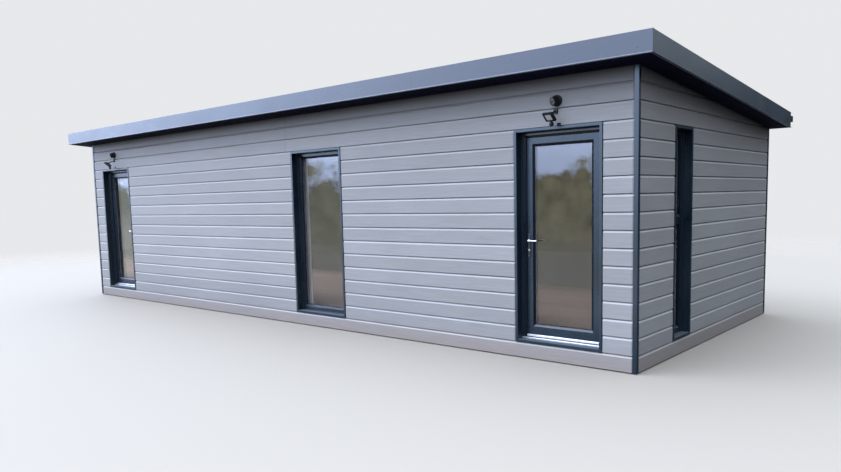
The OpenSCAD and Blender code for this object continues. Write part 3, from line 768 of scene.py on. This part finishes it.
bar_outline = rounded(
    [(0, 0), (38, 0), (38, 13.9), (42, 14), (42, frame_d), (0, frame_d)],
    [0.5, 0.5, 0, 0.5, 2, 0.5],
)
stop_outline = rounded([(38.1, 0.4), (62, 11), (62, 14), (38.1, 13.8)], [1, 1.5, 1, 0])
seal_outline = rounded([(47, 14.1), (56, 14.1), (55, 18), (51.5, 19.6), (48, 18)], 1.2, 2)
lower_knuckle = (
    [(4.2, -44), (4.2, 0), (7.2, 0), (8, 0.8), (8, 44.2), (7, 45)],
    [(3.1, -44.8), (4, -44), (4, -0.1)],
)
stainless = textured(
    "stainless screws", (0.45, 0.45, 0.46), (0.6, 0.6, 0.6), 90, (900, 900, 90), 0.00003,
    (0.2, 0.38), Metallic=1.0,
)
for side, name in doors:
    at = door_place(side)
    for part, foot, outline, finish, nodes in (
        ("bars", frame_z0, bar_outline, frame_coat, [name + "_door_frame"]),
        # The stops take the darker bead coat: painted shade in the rebate.
        ("stops", frame_z0, stop_outline, painted_shade_bead_coat, []),
        ("seal", 237, seal_outline, gasket_rubber, []),
    ):
        edges = -frame_half, frame_half, foot, frame_z1
        bars = mitred(into(at, reveal), edges, outline, "lrt")
        build(f"{name}_door_{part}", bars, finish, "frame", *nodes)
    halves, screws = hinge_halves(at, -1, lower_knuckle, 430, 28, 436)
    build(name + "_hinge_lower_halves", halves, frame_coat, "frame")
    build(name + "_hinge_frame_screws", screws, stainless, "frame")


# Thresholds: mill-finish aluminium extrusions, screwed down across the foot of each doorway, with
# a low nose outside, a grooved ridge under the leaf's face and a flat inner sill.
def mill_aluminium():
    """Drawn metal with fine lines and dull stains."""
    material, tree = new_finish("mill aluminium", Metallic=1.0)
    drawn = waves(tree, (3, 500, 500), 3.0, 0.7)
    stains = spread(tree, waves(tree, (7, 12, 12), 4.0))
    return lay_on(
        material, blended(tree, stains, (0.78, 0.79, 0.8), (0.88, 0.885, 0.89)),
        spread(tree, drawn, 0.28, 0.44), relief(tree, drawn, 0.00008),
    )


nose = rounded(
    [(-14, 3), (-14, 9.5), (-20, 11.5), (-20, 16), (-17, 19), (-4, 19), (-4, 14), (0, 14), (0, 3)],
    [0, 0.8, 0.8, 1.5, 1.5, 0.5, 0, 0, 0],
)
ribs = [p for d in (7, 11, 15) for p in ((d, 45), (d + 0.6, 43.8), (d + 1.8, 43.8), (d + 2.4, 45))]
ridge = rounded(
    [(0.05, 0), (0.05, 14), (7, 14), (7, 27), (0.05, 27), (0.05, 41), (4, 45), *ribs, (22, 45),
     (22, 0)],
    [0, 0.5, 0, 0, 0.8, 1.2, 1.2] + [0] * 12 + [0.8, 0],
)
inner_sill = rounded([(22.05, 0), (22.05, 33), (70, 33), (75, 28), (75, 0)], [0, 0, 2, 2, 0])
insert = rounded([(0.4, 14.2), (6.8, 14.2), (6.8, 26.8), (0.4, 26.8)], 1, 2)


def strip(at, outline, half):
    """A strip across a doorway."""
    return loft([[at(u, d, z) for d, z in outline] for u in (-half, half)])


for side, name in doors:
    at = into(door_place(side), reveal, frame_z0)
    build(
        name + "_threshold",
        [strip(at, nose, 448.5), strip(at, ridge, 399.8), strip(at, inner_sill, 419.8)],
        mill_aluminium(), "threshold", "thresholds",
    )
    build(name + "_threshold_insert", [strip(at, insert, 399.5)], gasket_rubber, "threshold")


# Door leaves: mitred and welded stiles and rails round a fixed light, beaded like the windows.
# The upper halves of the hinges are screwed to the back of the hinge stile and turn on the pins.
leaf_d, leaf_t, stile = 115, 55, 96
leaf_edges = -412, 412, 243, 2242
leaf_light = grown(leaf_edges, -stile)
upper_knuckle = [(4.3, 0), (7.2, 0), (8, 0.8), (8, 44.2), (7, 45), (4.3, 45)]
wiper = rounded([(3, 238.5), (9, 238.5), (11, 244), (2, 244)], 1, 2)
for side, name in doors:
    at, body = into(door_place(side), leaf_d), name + "_door"
    bars = mitred(at, leaf_edges, outer_outline(stile, leaf_t))
    bars += mitred(at, leaf_edges, inner_outline(stile, leaf_t))
    build(name + "_leaf_bars", bars, frame_coat, "frame", name + "_door_leaf", body=body)
    bead(name + "_leaf", at, leaf_light, leaf_t, painted_shade_leaf_bead_coat, body)
    build(name + "_leaf_wiper", [strip(at, wiper, 396)], gasket_rubber, "frame", body=body)
    seat = into(at, (leaf_t - glass_t) / 2)
    glaze(name + "_leaf", seat, leaf_light, name + "_door_glass", body)
    halves, screws = hinge_halves(door_place(side), 1, [upper_knuckle], 399, 26, 394)
    build(name + "_hinge_upper_halves", halves, frame_coat, "frame", body=body)
    build(name + "_hinge_leaf_screws", screws, stainless, "frame", body=body)


# Door furniture: slim dark back plates inside and out, bolted through the lock stile, a nickel
# lock cylinder, and a polished lever on each side of one sprung spindle.
plate_coat = powder_coat("dark plate coat", (0.018, 0.02, 0.024), (0.028, 0.031, 0.037))
nickel = textured(
    "satin nickel", (0.55, 0.54, 0.5), (0.68, 0.67, 0.63), 60, (1200, 1200, 200), 0.00003,
    (0.22, 0.34), Metallic=1.0,
)
polished = textured(
    "polished chrome", (0.78, 0.79, 0.8), (0.86, 0.865, 0.87), 25, 160, 0.000008, (0.07, 0.14),
    Metallic=1.0,
)
keyhole_black = textured(
    "keyhole", (0.004, 0.004, 0.004), (0.01, 0.01, 0.01), 90, 900, 0.00005, (0.5, 0.8),
)
spindle_u, lever_z, plate_z, lock_z, grip_out = -375, 1200, 1148, 1102, 51


def tube(path, radii, up, steps):
    """A round bar along a line."""
    rings = []
    for i, here in enumerate(path):
        ahead = (path[min(i + 1, len(path) - 1)] - path[max(i - 1, 0)]).normalized()
        high = (Vector(up) - ahead * ahead.dot(Vector(up))).normalized()
        wide = ahead.cross(high)
        rings.append([
            here + radii[i] * (wide * math.cos(t) + high * math.sin(t))
            for t in (math.tau * k / steps for k in range(steps))
        ])
    return loft(rings)


def handle(at, face, out):
    """One side's neck, bend and grip, and its collar."""
    def along(u):
        return Vector(at(spindle_u + u, face + out * grip_out, lever_z))
    path = rounded([at(spindle_u, face, lever_z), along(0), along(108)], 15, 8, closed=False)
    end = [along(u) for u in (40, 80, 104, 111, 115, 117.5)]
    path = [path[0], (path[0] + path[1]) / 2, *path[1:-1], *end]
    radii = [7.8] * (len(path) - len(end)) + [8, 8.4, 8.6, 8.2, 6.4, 2.5]
    collar = turned(axis(at(spindle_u, face + out * 9.3, lever_z), (0, out, 0)), [
        (13.2, 0), (14, 0.8), (14, 5), (12.8, 6.4), (9.4, 7),
    ], 32)
    return [tube(path, radii, (0, 0, 1), 20), collar]


for side, name in doors:
    at, body = door_place(side), name + "_door"
    plates, screws, cylinders, slots, handles = [], [], [], [], []
    for face, out in ((leaf_d, -1), (leaf_d + leaf_t, 1)):
        def on(z, off=0.0):
            """Places outwards from the lock stile, at that height."""
            return axis(at(spindle_u, face + out * off, z), (0, out, 0))
        plates.append(plate(on(plate_z), 240, 30, 15, [
            (0, 0.1), (0, 6.5), (0.6, 8), (1.8, 8.8), (3, 9),
        ], 8))
        screws += [
            screw_head(at(spindle_u, face + out * 8.8, z), (0, out, 0), 3.4) for z in (1047, 1238)
        ]
        cylinders.append(turned(on(lock_z), [
            (8.5, -20), (8.5, 12.2), (7.8, 13), (2.6, 13), (2.4, 12.4), (0.2, 12.4),
        ], 32))
        cylinders.append(turned(on(lock_z), [
            (11.6, 8.9), (11.6, 9.8), (10.8, 10.6), (8.6, 10.9),
        ], 32))
        slots.append(plate(on(lock_z, 12.9), 8, 1.5, 0.5, [(0, 0), (0, 0.16)], 2))
        handles += handle(at, face, out)
    handles.append(turned(axis(at(spindle_u, 108, lever_z), (0, 1, 0)), [(5.5, 0), (5.5, 69)]))
    build(name + "_back_plates", plates, plate_coat, "plate", name + "_door_plates", body=body)
    for part, solids, finish in (
        ("plate_screws", screws, stainless), ("lock_cylinder", cylinders, nickel),
        ("keyholes", slots, keyhole_black),
    ):
        build(f"{name}_{part}", solids, finish, "plate", body=body)
    build(
        name + "_lever_handles", handles, polished, "lever", name + "_door_lever",
        body=name + "_lever",
    )


# Roof covering: a dark grey rubber membrane, laid in sheets over the panels, lapped and glued,
# and dressed to the fascias.
roof_y0, roof_y1, roof_x = -2350, 2065, 5530
sheet_x, sheet_n, lap = 5510, 8, 75
sheet_w = 2 * sheet_x / sheet_n


def rubber_membrane():
    """Matt, with dust, grit and slow swells."""
    material, tree = new_finish("rubber membrane")
    dust = waves(tree, (2.6, 0.8, 1), 6.0, 0.7)
    grit, swell = waves(tree, 260), waves(tree, (2.3, 2.3, 1), 2.0)
    return lay_on(
        material, blended(
            tree, ranged(tree, dust, 0.35, 0.7), (0.036, 0.037, 0.039), (0.054, 0.054, 0.053)
        ), spread(tree, dust, 0.5, 0.8),
        relief(tree, grit, 0.0003, Normal=relief(tree, swell, 0.004)),
    )


def sloped(outline, y0, y1):
    """A bar down the fall; the outline is (x, height over the panel's underside)."""
    return loft([[(x, y, under_z(y) + up) for x, up in outline] for y in (y0, y1)])


sheets = []
for n in range(sheet_n):
    x0 = n * sheet_w - sheet_x
    x1 = x0 + sheet_w
    outline = [(x0 + 0.2, 150.1), (x1, 150.1), (x1, 152.6), (x0 + 0.2, 152.6)]
    if n < sheet_n - 1:
        outline[2:3] = [
            (x1, 153.2), (x1 + lap, 153.4), (x1 + lap, 154.9), (x1 - 4, 155), (x1 - 12, 152.8),
            (x0 + lap + 3, 152.6),
        ]
    sheets.append(sloped(outline, roof_y0 + 20, roof_y1 - 20))
build("membrane_sheets", sheets, rubber_membrane(), "roof_sheet", "roof_sheet", sharp=50)


# Fascias: anthracite coated aluminium, folded with a drip lip at the foot and fixed to the panel
# edges in lengths of about three metres, with a fine butt joint between them.
fascia_coat = powder_coat(
    "anthracite fascia coat", (0.028, 0.037, 0.052), (0.036, 0.046, 0.064), (0.24, 0.34),
    Specular_IOR_Level=0.66,
)
fascia_foot = under_z(roof_y0) - 14
front_outline = rounded(
    [(-9, 0), (20, 0), (20, 194.9), (0, 194.9), (0, 12), (-9, 9)], [1.5, 1, 1.5, 2, 4, 1.5]
)
end_outline = rounded(
    [(-20, -14), (9, -14), (9, -5), (0, -2), (0, 181), (-20, 181)], [1, 1.5, 1.5, 4, 2, 1.5]
)
back_outline = rounded([(2045.2, -14), (2065, -14), (2065, 155), (2045.2, 155)], [1, 1.5, 1.5, 1])


def butted(end):
    """Where the lengths along the pod start and stop."""
    return (-end, -2900.4), (-2899.6, -0.4), (0.4, 2899.6), (2900.4, end)


def level_bar(outline, ends):
    """A bar along the pod; the outline is (y, height over the panel's underside)."""
    return loft([[(x, y, under_z(y) + up) for y, up in outline] for x in ends])


build("front_fascia_lengths", [
    loft([[(x, roof_y0 + d, fascia_foot + up) for d, up in front_outline] for x in ends])
    for ends in butted(roof_x)
], fascia_coat, "fascia", "front_fascia")
build("end_fascia_lengths", [
    sloped([(side * (roof_x + a), up) for a, up in end_outline], y0, y1)
    for side in (-1, 1) for y0, y1 in ((roof_y0 + 20.3, -140), (-139.2, roof_y1))
], fascia_coat, "fascia", "end_fascias")
build("back_fascia_lengths", [
    level_bar(back_outline, ends) for ends in butted(sheet_x - 0.2)
], fascia_coat, "fascia", "back_fascia")


# Soffit: black boards with fine V-grooves, pinned under the overhang and butted at the corners.
# It lies 0.2 mm clear of the fascias and the corner trims.
soffit_black = textured(
    "black soffit board", (0.003, 0.003, 0.013), (0.005, 0.005, 0.021), 1.5, 30, 0.0003,
    (0.5, 0.7), Specular_IOR_Level=0.03,
)
soffit_x0, soffit_x1, soffit_y = wall_x + proud + 0.2, sheet_x - 0.2, wall_y + proud


def grooved(start, stop, boards):
    """(across, height) along a strip with V-grooves between its boards."""
    line, wide = [(start, -0.3), (start, -12)], (stop - start) / boards
    for k in range(1, boards):
        middle = start + k * wide
        line += [(middle - 3, -12), (middle, -8), (middle + 3, -12)]
    return line + [(stop, -12), (stop, -0.3)]


strips = [level_bar(grooved(roof_y0 + 20.2, -soffit_y - 0.2, 3), (-soffit_x1, soffit_x1))]
for side in (-1, 1):
    outline = [(side * x, up) for x, up in grooved(soffit_x0, soffit_x1, 2)]
    strips.append(sloped(outline, 0.2 - soffit_y, 2044.8))
build("soffit_strips", strips, soffit_black, "soffit", "soffit")


# Gutter and downpipe: black moulded plastic, a square-line gutter on clips along the back fascia
# with an outlet near the right end, and a round pipe on brackets down to an angled shoe.
black_plastic = textured(
    "black rainwater plastic", (0.006, 0.006, 0.007), (0.011, 0.011, 0.012), 2, 500, 0.00006,
    (0.3, 0.44),
)
gutter_x, gutter_y, gutter_z, pipe_x, pipe_r, run_n, clip_n = 5527, 2120, 2531.1, 5030, 34, 6, 12
channel = rounded(
    [(0, 75), (0, 0), (110, 0), (110, 75), (104, 75), (104, 71.5), (107, 71.5), (107, 3), (3, 3),
     (3, 75)],
    [0.5, 6, 6, 1, 1, 0.5, 0.5, 4, 4, 0.5], 2,
)
clip_outline = rounded(
    [(0, 72), (0, -3), (113, -3), (113, 72), (110.2, 72), (110.2, -0.2), (0.2, -0.2), (0.2, 72)],
    [0.5, 6, 7, 0.5, 0.5, 5, 5, 0.5], 2,
)


def gutter_bar(outline, x0, x1):
    """A length along the back; the outline starts at the gutter's inner foot."""
    return loft([[(x, roof_y1 + y, gutter_z + z) for y, z in outline] for x in (x0, x1)])


run_l = 2 * gutter_x / run_n
runs = [
    gutter_bar(channel, x + 0.5, x + run_l - 0.5)
    for x in (n * run_l - gutter_x for n in range(run_n))
]
for side in (-1, 1):
    cap = axis((side * gutter_x, gutter_y, gutter_z + 37.5), (side, 0, 0), (0, 0, 1))
    runs.append(plate(cap, 75, 110, 6, [(0, 0), (0, 2), (0.8, 3)]))
outlet = axis((pipe_x, gutter_y, gutter_z), (0, 0, -1), (1, 0, 0))
runs.append(turned(outlet, [(48, 0), (46, 4), (38, 9), (38, 24), (36.5, 25), (34.3, 25)], 40))
build("gutter_runs", runs, black_plastic, "rainwater", "gutter")
build("gutter_clips", [
    gutter_bar(clip_outline, x - 12, x + 12)
    for x in ((n + 0.5) * 2 * roof_x / clip_n - roof_x for n in range(clip_n))
], black_plastic, "rainwater")

pipe_line = rounded(
    [(pipe_x, gutter_y, 2531), (pipe_x, gutter_y, 150), (pipe_x, gutter_y + 56, 94)], 40, 8,
    closed=False,
)
mouth = axis(pipe_line[-1], (0, 1, -1), (1, 0, 0))
pipe = [
    tube(pipe_line, [pipe_r] * len(pipe_line), (1, 0, 0), 40),
    turned(mouth, [(pipe_r, -22), (36.5, -21), (37, -19), (37, -2), (36, 0), (34.5, -0.5)], 40),
]
socket = [(pipe_r, -3), (37, -2), (38, 0), (38, 34), (37, 36), (pipe_r, 37)]
band = [(34.2, 0), (37.6, 0), (38, 0.5), (38, 24.5), (37.6, 25), (34.2, 25)]
for ring, heights in ((socket, (190, 1330, 2240)), (band, (435.7, 1430.5, 2150))):
    for z in heights:
        pipe.append(turned(axis((pipe_x, gutter_y, z), (0, 0, 1), (1, 0, 0)), ring, 40))
        if ring is band:
            arm = axis((pipe_x, wall_y + 0.4, z + 12.5), (0, 1, 0))
            pipe.append(plate(arm, 25, 62, 4, [(0, 0), (0, 3.2), (1, 4)]))
            pipe.append(plate(arm, 22, 26, 3, [(0, 3), (0, 46)]))
build("rainwater_pipe", pipe, black_plastic, "rainwater", "downpipe")


# Floodlights and cameras: one of each over either door, black plastic and coated metal. The light
# has a glazed head tilted to the ground and a motion sensor; the camera is a ball on a round base.
fitting_black = textured(
    "black fitting", (0.003, 0.003, 0.004), (0.007, 0.007, 0.008), 12, 900, 0.00006, (0.3, 0.45),
    Specular_IOR_Level=0.3,
)
tilt, dip, turn = (math.radians(a) for a in (50, 15, 25))
head_out = Vector((0, -math.cos(tilt), -math.sin(tilt)))
head_up = Vector((0, -math.sin(tilt), math.cos(tilt)))
face_y, sensor_r, ball_r = -wall_y - 0.2, 23, 43


def lamp_glass():
    """Glass over a pale reflector; at a slant the dark pocket shows."""
    material, tree = new_finish("lamp glass", Specular_IOR_Level=0.3)
    cells = wire(tree, "VectorMath", {0: spot(tree), 1: (75, 75, 75)}, operation="MULTIPLY")
    chips = wire(tree, "TexVoronoi", {"Vector": cells.outputs[0], "Scale": 1.0, "Randomness": 0.0})
    spots = ranged(tree, chips.outputs[0], 0.2, 0.55)
    slant = ranged(tree, wire(tree, "LayerWeight").outputs["Facing"], 0.46, 0.62)
    reflector = blended(tree, spots, (0.8, 0.81, 0.8), (0.7, 0.71, 0.72))
    return lay_on(
        material, blended(tree, slant, reflector, (0.02, 0.02, 0.022)),
        ranged(tree, spots, 0, 1, 0.2, 0.32),
    )


def lens_glass(name, deep, pale):
    """Dark glossy glass or a dome."""
    return textured(
        name, deep, pale, 30, 120, 0.00004, (0.04, 0.1), Coat_Weight=0.3, Coat_Roughness=0.03,
    )


def ball_profile(radius, centre, degrees):
    """(radius, distance along) over part of a ball."""
    angles = [math.radians(d) for d in degrees]
    return [(radius * math.sin(a), centre - radius * math.cos(a)) for a in angles]


housings, lamps, sensors, shells, windows, lenses = [], [], [], [], [], []
for x in (-door_x, door_x):
    box = axis((x, face_y, 2450), (0, -1, 0))
    head = axis((x, -2159, 2390), head_out, head_up)
    housings.append(plate(box, 46, 46, 6, [(0, 0), (0, 10), (1.2, 13), (4, 14)]))
    housings.append(plate(head, 104, 110, 7, [
        (7, -8), (2, -7), (0, -4), (0, 11), (1.5, 12.8), (12, 13), (13.5, 12), (18, 11.4),
    ]))
    for n in range(7):
        fin = axis(head(0, (n - 3) * 12 - 2, -7), head(0, 1, 0) - head(0, 0, 0), head_out)
        housings.append(plate(fin, 10, 92, 3, [(0.5, 0), (0, 0.6), (0, 3.4), (0.5, 4)]))
    lamp = axis(head(0, 5, 0), head_out, head_up)
    lamps.append(plate(lamp, 64, 60, 4, [(0, 9.3), (0, 12.6), (0.8, 13)]))
    arm = rounded([(x, -2050, 2450), (x, -2082, 2440), (x, -2138, 2412)], 20, 6, closed=False)
    housings.append(tube(arm, [6.8] * len(arm), (1, 0, 0), 20))
    for foot in (-30, 30):
        yoke = [(x, -2112, 2424), (x + foot, -2124, 2419), (x + foot, -2143, 2410)]
        yoke = rounded(yoke, 14, 4, closed=False)
        housings.append(tube(yoke, [4.5] * len(yoke), (0, 0, 1), 12))
    pivot = axis((x - 34, -2141, 2411), (1, 0, 0))
    housings.append(turned(pivot, [(6, 0), (7.5, 1.5), (7.5, 66.5), (6, 68)]))
    stem = axis(head(-45, 0, 0), (0, 0, -1), (1, 0, 0))
    housings.append(turned(stem, [(6.8, 0), (6.8, 12), (9, 13), (9, 16), (6.5, 17), (6.5, 21)]))
    cup = ball_profile(sensor_r, 35, range(20, 100, 10)) + [(22.4, 39.5)]
    housings.append(turned(stem, cup, 28))
    dome = [(22.2, 39.6)] + ball_profile(sensor_r, 35, range(104, 180, 12))
    sensors.append(turned(stem, dome, 14))
    cable_box = axis((x + 33, face_y, 2325), (0, -1, 0))
    housings.append(plate(cable_box, 24, 36, 4, [(0, 0), (0, 9), (1, 11), (3, 12)]))

    base = axis((x + 12, face_y, 2545), (0, -1, 0))
    shells.append(turned(base, [
        (54, 0), (54, 13), (53, 17), (50, 20.5), (45, 22), (40, 22), (36, 20),
    ], 48))
    look = (-math.sin(turn) * math.cos(dip), -math.cos(turn) * math.cos(dip), -math.sin(dip))
    eye = axis((x + 12, -2070, 2545), look)
    shells.append(turned(eye, ball_profile(ball_r, 0, range(62, 119, 7)) + [
        (38.5, 22), (40, 24), (40, 37), (38.5, 39), (33, 39), (32.4, 37.8), (32, 36.6),
    ], 48))
    window = [(31.8, 36.7), (31.6, 37.4), (14, 39.4), (13, 38.8), (0.2, 38.7)]
    windows.append(turned(eye, window, 40))
    lens = [(12.6, 38.9), (12.4, 40.4), (9.6, 41.2), (8.4, 40.2), (0.2, 40)]
    lenses.append(turned(eye, lens, 32))
    for a in (math.tau * (k / 3 + 1 / 12) for k in range(3)):
        hole = base(46 * math.cos(a), 46 * math.sin(a), 21.2)
        shells.append(screw_head(hole, (0, -1, 0), 2.4))
sensor_glass = lens_glass("sensor dome", (0.003, 0.003, 0.004), (0.008, 0.008, 0.01))
window_tint = lens_glass("camera window", (0.05, 0.053, 0.058), (0.09, 0.094, 0.1))
lens_tint = lens_glass("camera lens", (0.004, 0.004, 0.006), (0.012, 0.012, 0.018))
build("floodlight_housings", housings, fitting_black, "fitting", "floodlights")
build("floodlight_lenses", lamps, lamp_glass(), "fitting")
build("sensor_domes", sensors, sensor_glass, "fitting", sharp=12)
build("camera_housings", shells, fitting_black, "fitting", "cameras")
build("camera_windows", windows, window_tint, "fitting")
build("camera_lenses", lenses, lens_tint, "fitting")


# Studio: a pale floor that fades into a pale backdrop, a soft dome that is brighter ahead and to
# the left of the front, and one large soft light on that side. The camera stands where the
# photograph was taken from.
scene = bpy.context.scene
scene.view_settings.view_transform = "Standard"
backdrop = (0.80, 0.81, 0.83)
floor_r, floor_sides = 22, 96


def pale_floor():
    """Pale to the eye and faded at its edge, darker in light, and in mirrors a painted reflection
    of brown ground.
    """
    material, tree = new_finish("pale floor", Roughness=0.8, Specular_IOR_Level=0.2)
    where = spot(tree)
    reach = wire(tree, "VectorMath", {0: where}, operation="LENGTH").outputs["Value"]
    x, y, _ = split(tree, where)
    # Painted reflection: to glossy rays the floor is brown ground, darker beyond 6.2 m out, and
    # near black close to the front wall and past the right-hand end.
    yard = reckon(tree, "MULTIPLY", ranged(tree, y, -2.8, -4.4), ranged(tree, x, 5.2, 4.0))
    ground = blended(tree, ranged(tree, y, -6.2, -7.4), (0.33, 0.232, 0.16), (0.15, 0.122, 0.066))
    painted_reflection = blended(tree, yard, (0.04, 0.04, 0.04), ground)
    ray = wire(tree, "LightPath").outputs
    lighting = blended(tree, ray["Is Glossy Ray"], (0.07, 0.066, 0.06), painted_reflection)
    show_mix(
        tree, ranged(tree, reach, 11.0, 21.0), tree.nodes["Principled BSDF"],
        wire(tree, "BsdfTransparent"),
    )
    return lay_on(material, blended(tree, ray["Is Camera Ray"], lighting, (0.25, 0.222, 0.19)))


floor_mesh = bpy.data.meshes.new("studio_floor")
turns = [math.tau * k / floor_sides for k in range(floor_sides)]
floor_mesh.from_pydata(
    [(floor_r * math.cos(t), floor_r * math.sin(t), -0.0005) for t in turns], [],
    [list(range(floor_sides))],
)
floor_mesh.materials.append(pale_floor())
studio_floor = bpy.data.objects.new("studio_floor", floor_mesh)
scene.collection.objects.link(studio_floor)

world = bpy.data.worlds.new("studio dome")
scene.world = world
world.use_nodes = True
sky = world.node_tree
toward = wire(sky, "TexCoord").outputs["Generated"]
to_right, to_back, height = split(sky, toward)
ray = wire(sky, "LightPath").outputs
mirror = ray["Is Glossy Ray"]
full = reckon(
    sky, "MAXIMUM", mirror, reckon(sky, "GREATER_THAN", ray["Transparent Depth"], 0.5)
)
indoors = reckon(sky, "SUBTRACT", full, mirror)
key_side = wire(
    sky, "VectorMath", {0: toward, 1: (-0.72, -0.62, 0.3)}, operation="DOT_PRODUCT"
).outputs["Value"]


def between(share, one, two):
    """A number of the sky between two others."""
    return wire(sky, "Mix", {0: share, 2: one, 3: two}).outputs[0]


def clumps(scale, detail, rough):
    """Noise over the whole sky."""
    return wire(sky, "TexNoise", {
        "Vector": toward, "Scale": scale, "Detail": detail, "Roughness": rough,
    }).outputs[0]


openness = between(mirror, ranged(sky, key_side, -0.6, 0.78), ranged(sky, key_side, 0.1, 0.8))
tufts, twigs = clumps(9.0, 6.0, 0.65), clumps(42.0, 5.0, 0.7)
ragged = reckon(sky, "ADD", spread(sky, tufts, -0.04, 0.04), spread(sky, twigs, -0.01, 0.01))
tree_line = ranged(sky, openness, 0.15, 0.75, between(mirror, 0.42, 0.15), 0.035)
gap = reckon(
    sky, "ADD", ranged(sky, to_right, -0.6, -0.76, 0.0, 0.011),
    ranged(sky, to_right, -0.8, -0.9, 0.0, -0.02),
)
skyline = reckon(sky, "ADD", reckon(sky, "ADD", tree_line, gap), ragged)
above = reckon(sky, "SUBTRACT", height, skyline)
open_air = blended(
    sky, full, blended(sky, openness, (0.5, 0.55, 0.57), (2.4, 2.78, 3.4)),
    blended(sky, openness, (0.7, 0.82, 0.92), (2.8, 3.35, 4.8)),
)
veil = reckon(
    sky, "MULTIPLY_ADD", ranged(sky, height, 0.05, 0.09),
    ranged(sky, to_right, -0.85, -0.5, 0.76, 0.25), 0.75,
)
climb = brightened(sky, open_air, between(
    full, ranged(sky, height, 0.05, 0.95, 0.08, 2.8),
    reckon(sky, "MULTIPLY", veil, ranged(sky, to_back, 0.92, 0.975, 1.0, 0.4)),
))
leaves = brightened(sky, (0.63, 0.605, 0.42), ranged(sky, twigs, 0.32, 0.68, 0.55, 1.5))
hedge = blended(sky, ranged(sky, key_side, 0.5, 0.85), (0.02, 0.024, 0.026), leaves)
clearing = reckon(
    sky, "MULTIPLY", ranged(sky, height, -0.005, -0.03), ranged(sky, to_right, -0.8, -0.9)
)
haze = blended(
    sky, ranged(sky, to_right, -0.6, -0.95), hedge,
    blended(sky, clearing, (0.5, 0.54, 0.51), (0.82, 0.84, 0.86)),
)
low = blended(sky, full, (0.08, 0.08, 0.075), haze)
around = blended(sky, ranged(sky, above, -0.012, 0.012), low, climb)
dome = brightened(sky, around, ranged(sky, indoors, 0, 1, 1.0, 1.8))
lit = wire(sky, "Background", {"Color": dome, "Strength": 1.0})
plain = wire(sky, "Background", {"Color": (*backdrop, 1), "Strength": 1.0})
show_mix(sky, ray["Is Camera Ray"], lit, plain)

key = bpy.data.lights.new("soft key", "AREA")
key.shape, key.size, key.size_y, key.energy = "RECTANGLE", 18.0, 12.0, 2300.0
key.color = (1.0, 0.99, 0.97)
key_light = bpy.data.objects.new("soft key", key)
key_light.location = (-13.0, -15.0, 24.0)
key_light.rotation_mode = "QUATERNION"
key_light.rotation_quaternion = (Vector((0, 0, 1.2)) - key_light.location).to_track_quat("-Z", "Y")
scene.collection.objects.link(key_light)

camera_data = bpy.data.cameras.new("photograph view")
camera_data.lens, camera_data.sensor_width = 30.063, 36.0
camera_data.shift_x, camera_data.shift_y = -0.0019, 0.0445
camera = bpy.data.objects.new("photograph view", camera_data)
yaw, rise, roll = (math.radians(a) for a in (40.84, -6.04, -1.35))
ahead = Vector((-math.sin(yaw) * math.cos(rise), math.cos(yaw) * math.cos(rise), math.sin(rise)))
level = Vector((math.cos(yaw), math.sin(yaw), 0))
upright = level.cross(ahead)
right = level * math.cos(roll) + upright * math.sin(roll)
up = upright * math.cos(roll) - level * math.sin(roll)
facing = Matrix((right, up, -ahead)).transposed().to_4x4()
camera.matrix_world = Matrix.Translation((7.922, -8.058, 1.646)) @ facing
scene.collection.objects.link(camera)
scene.camera = camera
